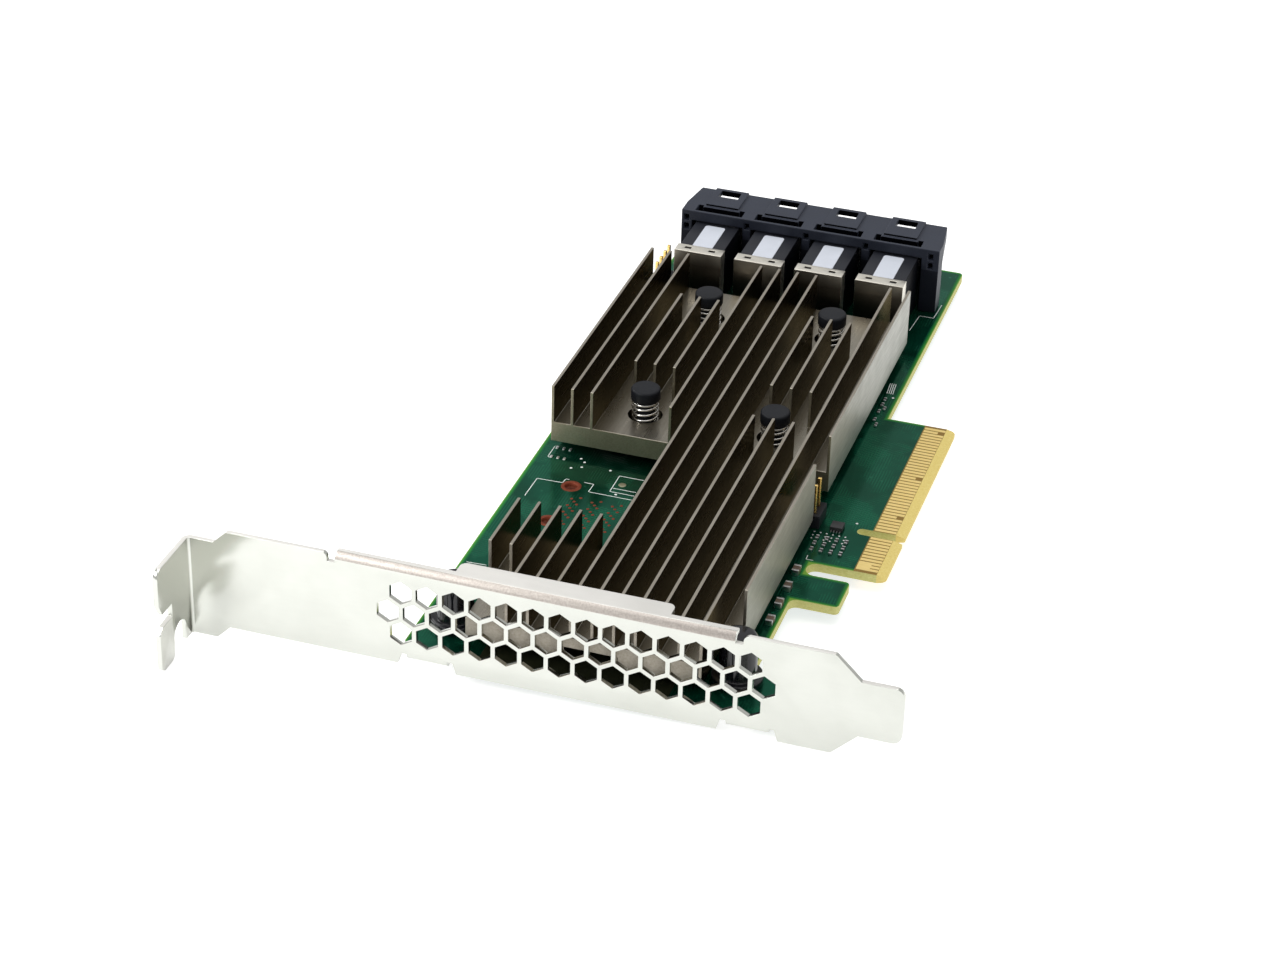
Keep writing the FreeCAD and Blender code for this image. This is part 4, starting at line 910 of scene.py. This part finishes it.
# %% [markdown]
# ## Solder and small chips
# Solder left on bare pads stands up as soft silver pillows, filled vias are flat silver dots, and
# under the board a cone of solder climbs each header pin. Beside the foot of the heat sink's right
# wall sit the smallest chip parts, a dark body between two tinned ends. Pillows and chips could be
# rounded cubes, but a superellipsoid gives a block with soft corners in one formula.

# %% Blocks with soft corners
def pillows(centers, size, softness, rows=9, columns=17):
    """Superellipsoids: half size times the signed powers of the sines and cosines of two angles."""
    centers = np.asarray(centers, float)
    v, u = np.meshgrid(np.linspace(-np.pi / 2, np.pi / 2, rows),
                       np.linspace(-np.pi, np.pi, columns), indexing="ij")

    def power(wave):
        """Power of a sine or cosine that keeps its sign, with rounding near zero removed."""
        wave = np.where(np.abs(wave) < 1e-9, 0, wave)
        return np.sign(wave) * np.abs(wave) ** softness

    unit = np.stack([power(np.cos(v)) * power(np.cos(u)), power(np.cos(v)) * power(np.sin(u)),
                     power(np.sin(v))], axis=-1)
    points = centers[:, None, None, :] + unit[None] * np.asarray(size) / 2
    return points.reshape(-1, 3), repeated(grid_quads(rows, columns), len(centers), rows * columns)


PAD_SIZE, PAD_LIFT = (0.5, 0.95, 0.16), 0.03
pad_x, pad_y = np.meshgrid([-65.95, -64.7, -63.5], [8.65, 5.35])
pad_places = np.column_stack([pad_x.ravel(), pad_y.ravel(), np.full(pad_x.size, PAD_LIFT)])
new_piece("solder_pads", *pillows(pad_places, PAD_SIZE, softness=0.5), solder, "solder_ends")

# %% Filled vias, test pad and solder cones
FILLED = [(0.0, -0.05), (0.2, -0.05), (0.2, 0.012), (0.12, 0.022), (0.0, 0.02)]
filled_x, filled_y = np.meshgrid(np.linspace(-15.2, -9.7, 6), np.linspace(-4.9, -2.7, 3))
filled_places = np.column_stack([filled_x.ravel(), filled_y.ravel(), np.zeros(filled_x.size)])
new_piece("filled_vias", *turned(FILLED, filled_places, steps=12), solder, "solder_ends")

TEST_PAD = [(0.0, -0.05), (0.7, -0.05), (0.7, 0.015), (0.6, 0.03), (0.0, 0.03)]
new_piece("test_pad", *turned(TEST_PAD, [(-51.0, 0.41, 0.0)], steps=28), dull_tin, "solder_ends")

PIN_PITCH = 2.54
CONE = [(0.0, -1.5), (0.95, -1.5), (0.95, -1.585), (0.66, -1.75), (0.52, -2.05), (0.47, -2.35),
        (0.0, -2.35)]
rear_pins = [(-66.5, 68.6 + PIN_PITCH * n, 0.0) for n in range(4)]
side_pins = [(-15.9, -0.6 + PIN_PITCH * n, 0.0) for n in range(2)]
new_piece("solder_cones", *turned(CONE, rear_pins + side_pins, steps=20), solder, "solder_ends")

# %% Chips beside the right wall
CHIP_SIZE, CHIP_END_SIZE = (0.5, 0.7, 0.34), (0.54, 0.24, 0.37)
CHIP_LIFT, CHIP_END_OFFSET = 0.19, np.array([0.0, 0.42, 0.0])
chip_x = np.array([-14.9, -14.9, -14.9, -14.2, -14.9, -14.2])
chip_y = np.array([46.0, 44.0, 41.3, 42.7, 38.2, 36.4])
chip_middle = np.column_stack([chip_x, chip_y, np.full(chip_x.size, CHIP_LIFT)])
new_piece("wall_chips", *pillows(chip_middle, CHIP_SIZE, softness=0.12), chip_plastic, "chip_body")
chip_ends = np.concatenate([chip_middle + CHIP_END_OFFSET, chip_middle - CHIP_END_OFFSET])
new_piece("wall_chip_ends", *pillows(chip_ends, CHIP_END_SIZE, softness=0.25), tinned, "solder_ends")

# %% [markdown]
# ## White ink
# The print on a bare board marks outlines and first pins. It could be part of the board's finish,
# but a network of nodes is a poor place to draw lines. Here it is plain geometry: a stepped border
# line, a corner frame and boxes around parts, each a thin bar of ink a hundredth of a millimetre
# high, and a few dots.

# %% Bars of ink
def bars(starts, ends, width, low, high):
    """Flat bars: a rectangle carried along the line between two plan points, half a width past both."""
    along = ends - starts
    along /= np.linalg.norm(along, axis=1, keepdims=True)
    across = np.stack([-along[:, 1], along[:, 0]], axis=1) * width / 2
    tips = np.stack([starts - along * width / 2, ends + along * width / 2], axis=1)
    side = np.array([-1, 1, 1, -1, -1])[:, None]
    plan = tips[:, :, None] + across[:, None, None] * side
    level = np.broadcast_to(np.array([low, low, high, high, low])[:, None], (*plan.shape[:3], 1))
    rings = np.concatenate([plan, level], axis=-1)
    middles = np.repeat(rings[:, :, :4].mean(axis=2, keepdims=True), 5, axis=2)
    points = np.stack([middles[:, 0], rings[:, 0], rings[:, 1], middles[:, 1]], axis=1)
    return points.reshape(-1, 3), repeated(grid_quads(4, 5), len(starts), 20)


INK = 0.13
INK_LOW, INK_HIGH = -0.01, 0.014
print("ink lines are", INK, "mm wide and stand", INK_HIGH, "mm proud")

# %% Printed lines
INK_PATHS = {
    "border": [(-65.9, -8.8), (-65.81, -2.66), (-61.13, -2.5), (-60.99, -1.11), (-60.4, -1.08)],
    "border_end": [(-57.5, -1.08), (-55.77, -1.15), (-55.87, -3.85), (-48.0, -3.89)],
    "corner_frame": [(-48.0, 3.15), (-52.42, 3.15), (-52.42, -2.45), (-48.0, -2.45)],
    "frame_bar": [(-52.2, -1.2), (-48.0, -1.2)],
    "pad_bracket": [(-66.1, 9.2), (-66.55, 9.0), (-66.55, 5.1), (-66.0, 5.0)],
    "shroud_corner": [(-17.1, 74.2), (-16.7, 80.7), (-13.9, 80.7), (-13.65, 86.5)],
    "flange_line": [(-67.75, -32.5), (-64.4, -32.3)],
    "chip_corner": [(-14.2, -10.6), (-14.2, -11.8), (-13.0, -11.8)],
}
SLANT, SLANT_FRONT, SLANT_REAR = 0.3, 48.8, 52.6
slant_x = np.linspace(-15.2, -14.1, 4)
slant_low = np.column_stack([slant_x, np.full(slant_x.size, SLANT_FRONT)])
slant_high = np.column_stack([slant_x - SLANT, np.full(slant_x.size, SLANT_REAR)])
ink_from = np.concatenate([path[:-1] for path in INK_PATHS.values()] + [slant_low])
ink_to = np.concatenate([path[1:] for path in INK_PATHS.values()] + [slant_high])
ink_bars = bars(ink_from, ink_to, INK, INK_LOW, INK_HIGH)
new_piece("ink_lines", *ink_bars, white_ink, "label", smooth=False)

# %% Printed dots
DOT = [(0.0, INK_LOW), (0.24, INK_LOW), (0.24, INK_HIGH), (0.0, INK_HIGH)]
dot_places = [(-61.37, 2.8, 0), (-59.67, 3.68, 0), (-59.74, 5.47, 0), (-60.7, 6.45, 0),
              (-54.52, 4.34, 0), (-51.09, -3.07, 0), (-8.9, 2.3, 0), (-13.7, 47.4, 0)]
new_piece("ink_dots", *turned(DOT, dot_places, steps=12), white_ink, "label", smooth=False)

# %% [markdown]
# ## The table
# The card lies as it was photographed, on the finger of its ear, the tail of a rivet and the tip of
# a rear push pin. The card could be tilted to suit a level table, but its frame must stay that of
# the solids, so the table is the plane through those three points. Seen from below it is clear, so
# that the underside can be looked at.

# %% Table
REST_POINTS = np.array([(-105.8, -69.0, -6.6), (-14.1, -50.4, -3.95), (-27.4, 55.5, -3.9)])
TABLE_REACH, TABLE_LINES = 2500.0, 21
TABLE_GREY, TABLE_GLOW = (0.55, 0.55, 0.55, 1.0), 0.74
normal = np.cross(REST_POINTS[1] - REST_POINTS[0], REST_POINTS[2] - REST_POINTS[0])
normal /= normal[2]
table_line = np.linspace(-TABLE_REACH, TABLE_REACH, TABLE_LINES)
u, v = np.meshgrid(table_line, table_line)
rest_x, rest_y, rest_z = REST_POINTS[0]
height = rest_z - ((u - rest_x) * normal[0] + (v - rest_y) * normal[1])
table_points = np.column_stack([u.ravel(), v.ravel(), height.ravel()]) * MM
table_mesh = bpy.data.meshes.new("table")
table_mesh.from_pydata(table_points.tolist(), [], grid_quads(TABLE_LINES, TABLE_LINES).tolist())

table_finish, table_tree, table_shader = new_finish(
    "pale_table", Base_Color=TABLE_GREY, Roughness=0.7,
    Emission_Color=(*WHITE, 1.0), Emission_Strength=TABLE_GLOW)
clear_below = add(table_tree, "MixShader", Fac=add(table_tree, "NewGeometry").outputs["Backfacing"])
table_tree.links.new(table_shader.outputs[0], clear_below.inputs[1])
table_tree.links.new(add(table_tree, "BsdfTransparent").outputs[0], clear_below.inputs[2])
table_tree.links.new(clear_below.outputs[0], table_tree.nodes["Material Output"].inputs[0])
table_mesh.materials.append(table_finish)
table = bpy.data.objects.new("table", table_mesh)
scene.collection.objects.link(table)
print("table leans by", np.degrees(np.arctan(np.hypot(normal[0], normal[1]))).round(2), "degrees")

# %% [markdown]
# ## The light
# The light is a bright white tent, as is usual for small parts: it comes from everywhere and leaves
# almost no shadow. An image of a studio could light the world, but plain white is enough, with
# three soft lamps that give the metal something to mirror: one overhead and two from the left.

# %% Lamps and world
WORLD_STRENGTH = 0.62
TARGET = (-45.0, 10.0, 0.0)
UP = (0.0, 0.0, 1.0)
world = bpy.data.worlds.new("white_tent")
world.use_nodes = True
world.node_tree.nodes["Background"].inputs[0].default_value = (*WHITE, 1.0)
world.node_tree.nodes["Background"].inputs[1].default_value = WORLD_STRENGTH
scene.world = world


def looking_matrix(eye, back, upward):
    """Matrix of an object at a point in millimetres that looks along minus back, upward at the top."""
    back = np.asarray(back, float) / np.linalg.norm(back)
    right = np.cross(upward, back)
    right /= np.linalg.norm(right)
    up = np.cross(back, right)
    rows = np.column_stack([right, up, back, np.asarray(eye) * MM])
    return Matrix([*rows.tolist(), [0.0, 0.0, 0.0, 1.0]])


def lamp(name, eye, aim, size, power):
    """Square soft lamp of a size in millimetres that looks at a point."""
    data = bpy.data.lights.new(name, "AREA")
    data.shape = "SQUARE"
    data.size = size * MM
    data.energy = power
    lamp_object = bpy.data.objects.new(name, data)
    lamp_object.matrix_world = looking_matrix(eye, np.subtract(eye, aim), UP)
    scene.collection.objects.link(lamp_object)
    print(f"lamp {name}: {power} W, {size} mm square")


lamp("overhead", (-60.0, 160.0, 900.0), TARGET, 800.0, 3.4)
lamp("front_fill", (-230.0, -200.0, 180.0), (-110.0, -80.0, -5.0), 120.0, 0.4)
lamp("left_fill", (-800.0, 50.0, 450.0), TARGET, 260.0, 2.0)

# %% [markdown]
# ## The camera
# The camera stands where the photograph was taken, with the same long lens and a slight roll. It
# could be aimed by eye, but the card's own corners fix it: its place and its angles are the ones
# for which they fall on their places in the picture.

# %% Camera
AZIMUTH, ELEVATION, ROLL = np.radians([17.018, 31.060, 1.734])
EYE = np.array([90.259, -450.628, 285.797])
FOCAL, SENSOR = 88.37, 36.0
flat_reach = np.cos(ELEVATION)
back = np.array([np.sin(AZIMUTH) * flat_reach, -np.cos(AZIMUTH) * flat_reach, np.sin(ELEVATION)])
level = np.array([np.cos(AZIMUTH), np.sin(AZIMUTH), 0.0])
upright = np.cross(back, level)
camera = bpy.data.objects.new("camera", bpy.data.cameras.new("camera"))
camera.data.lens = FOCAL
camera.data.sensor_width = SENSOR
camera.matrix_world = looking_matrix(EYE, back, upright * np.cos(ROLL) - level * np.sin(ROLL))
scene.collection.objects.link(camera)
scene.camera = camera
scene.view_settings.view_transform = "Standard"
scene.view_settings.look = "None"
print("camera stands", np.linalg.norm(EYE - TARGET).round(1), "mm from the middle of the card")
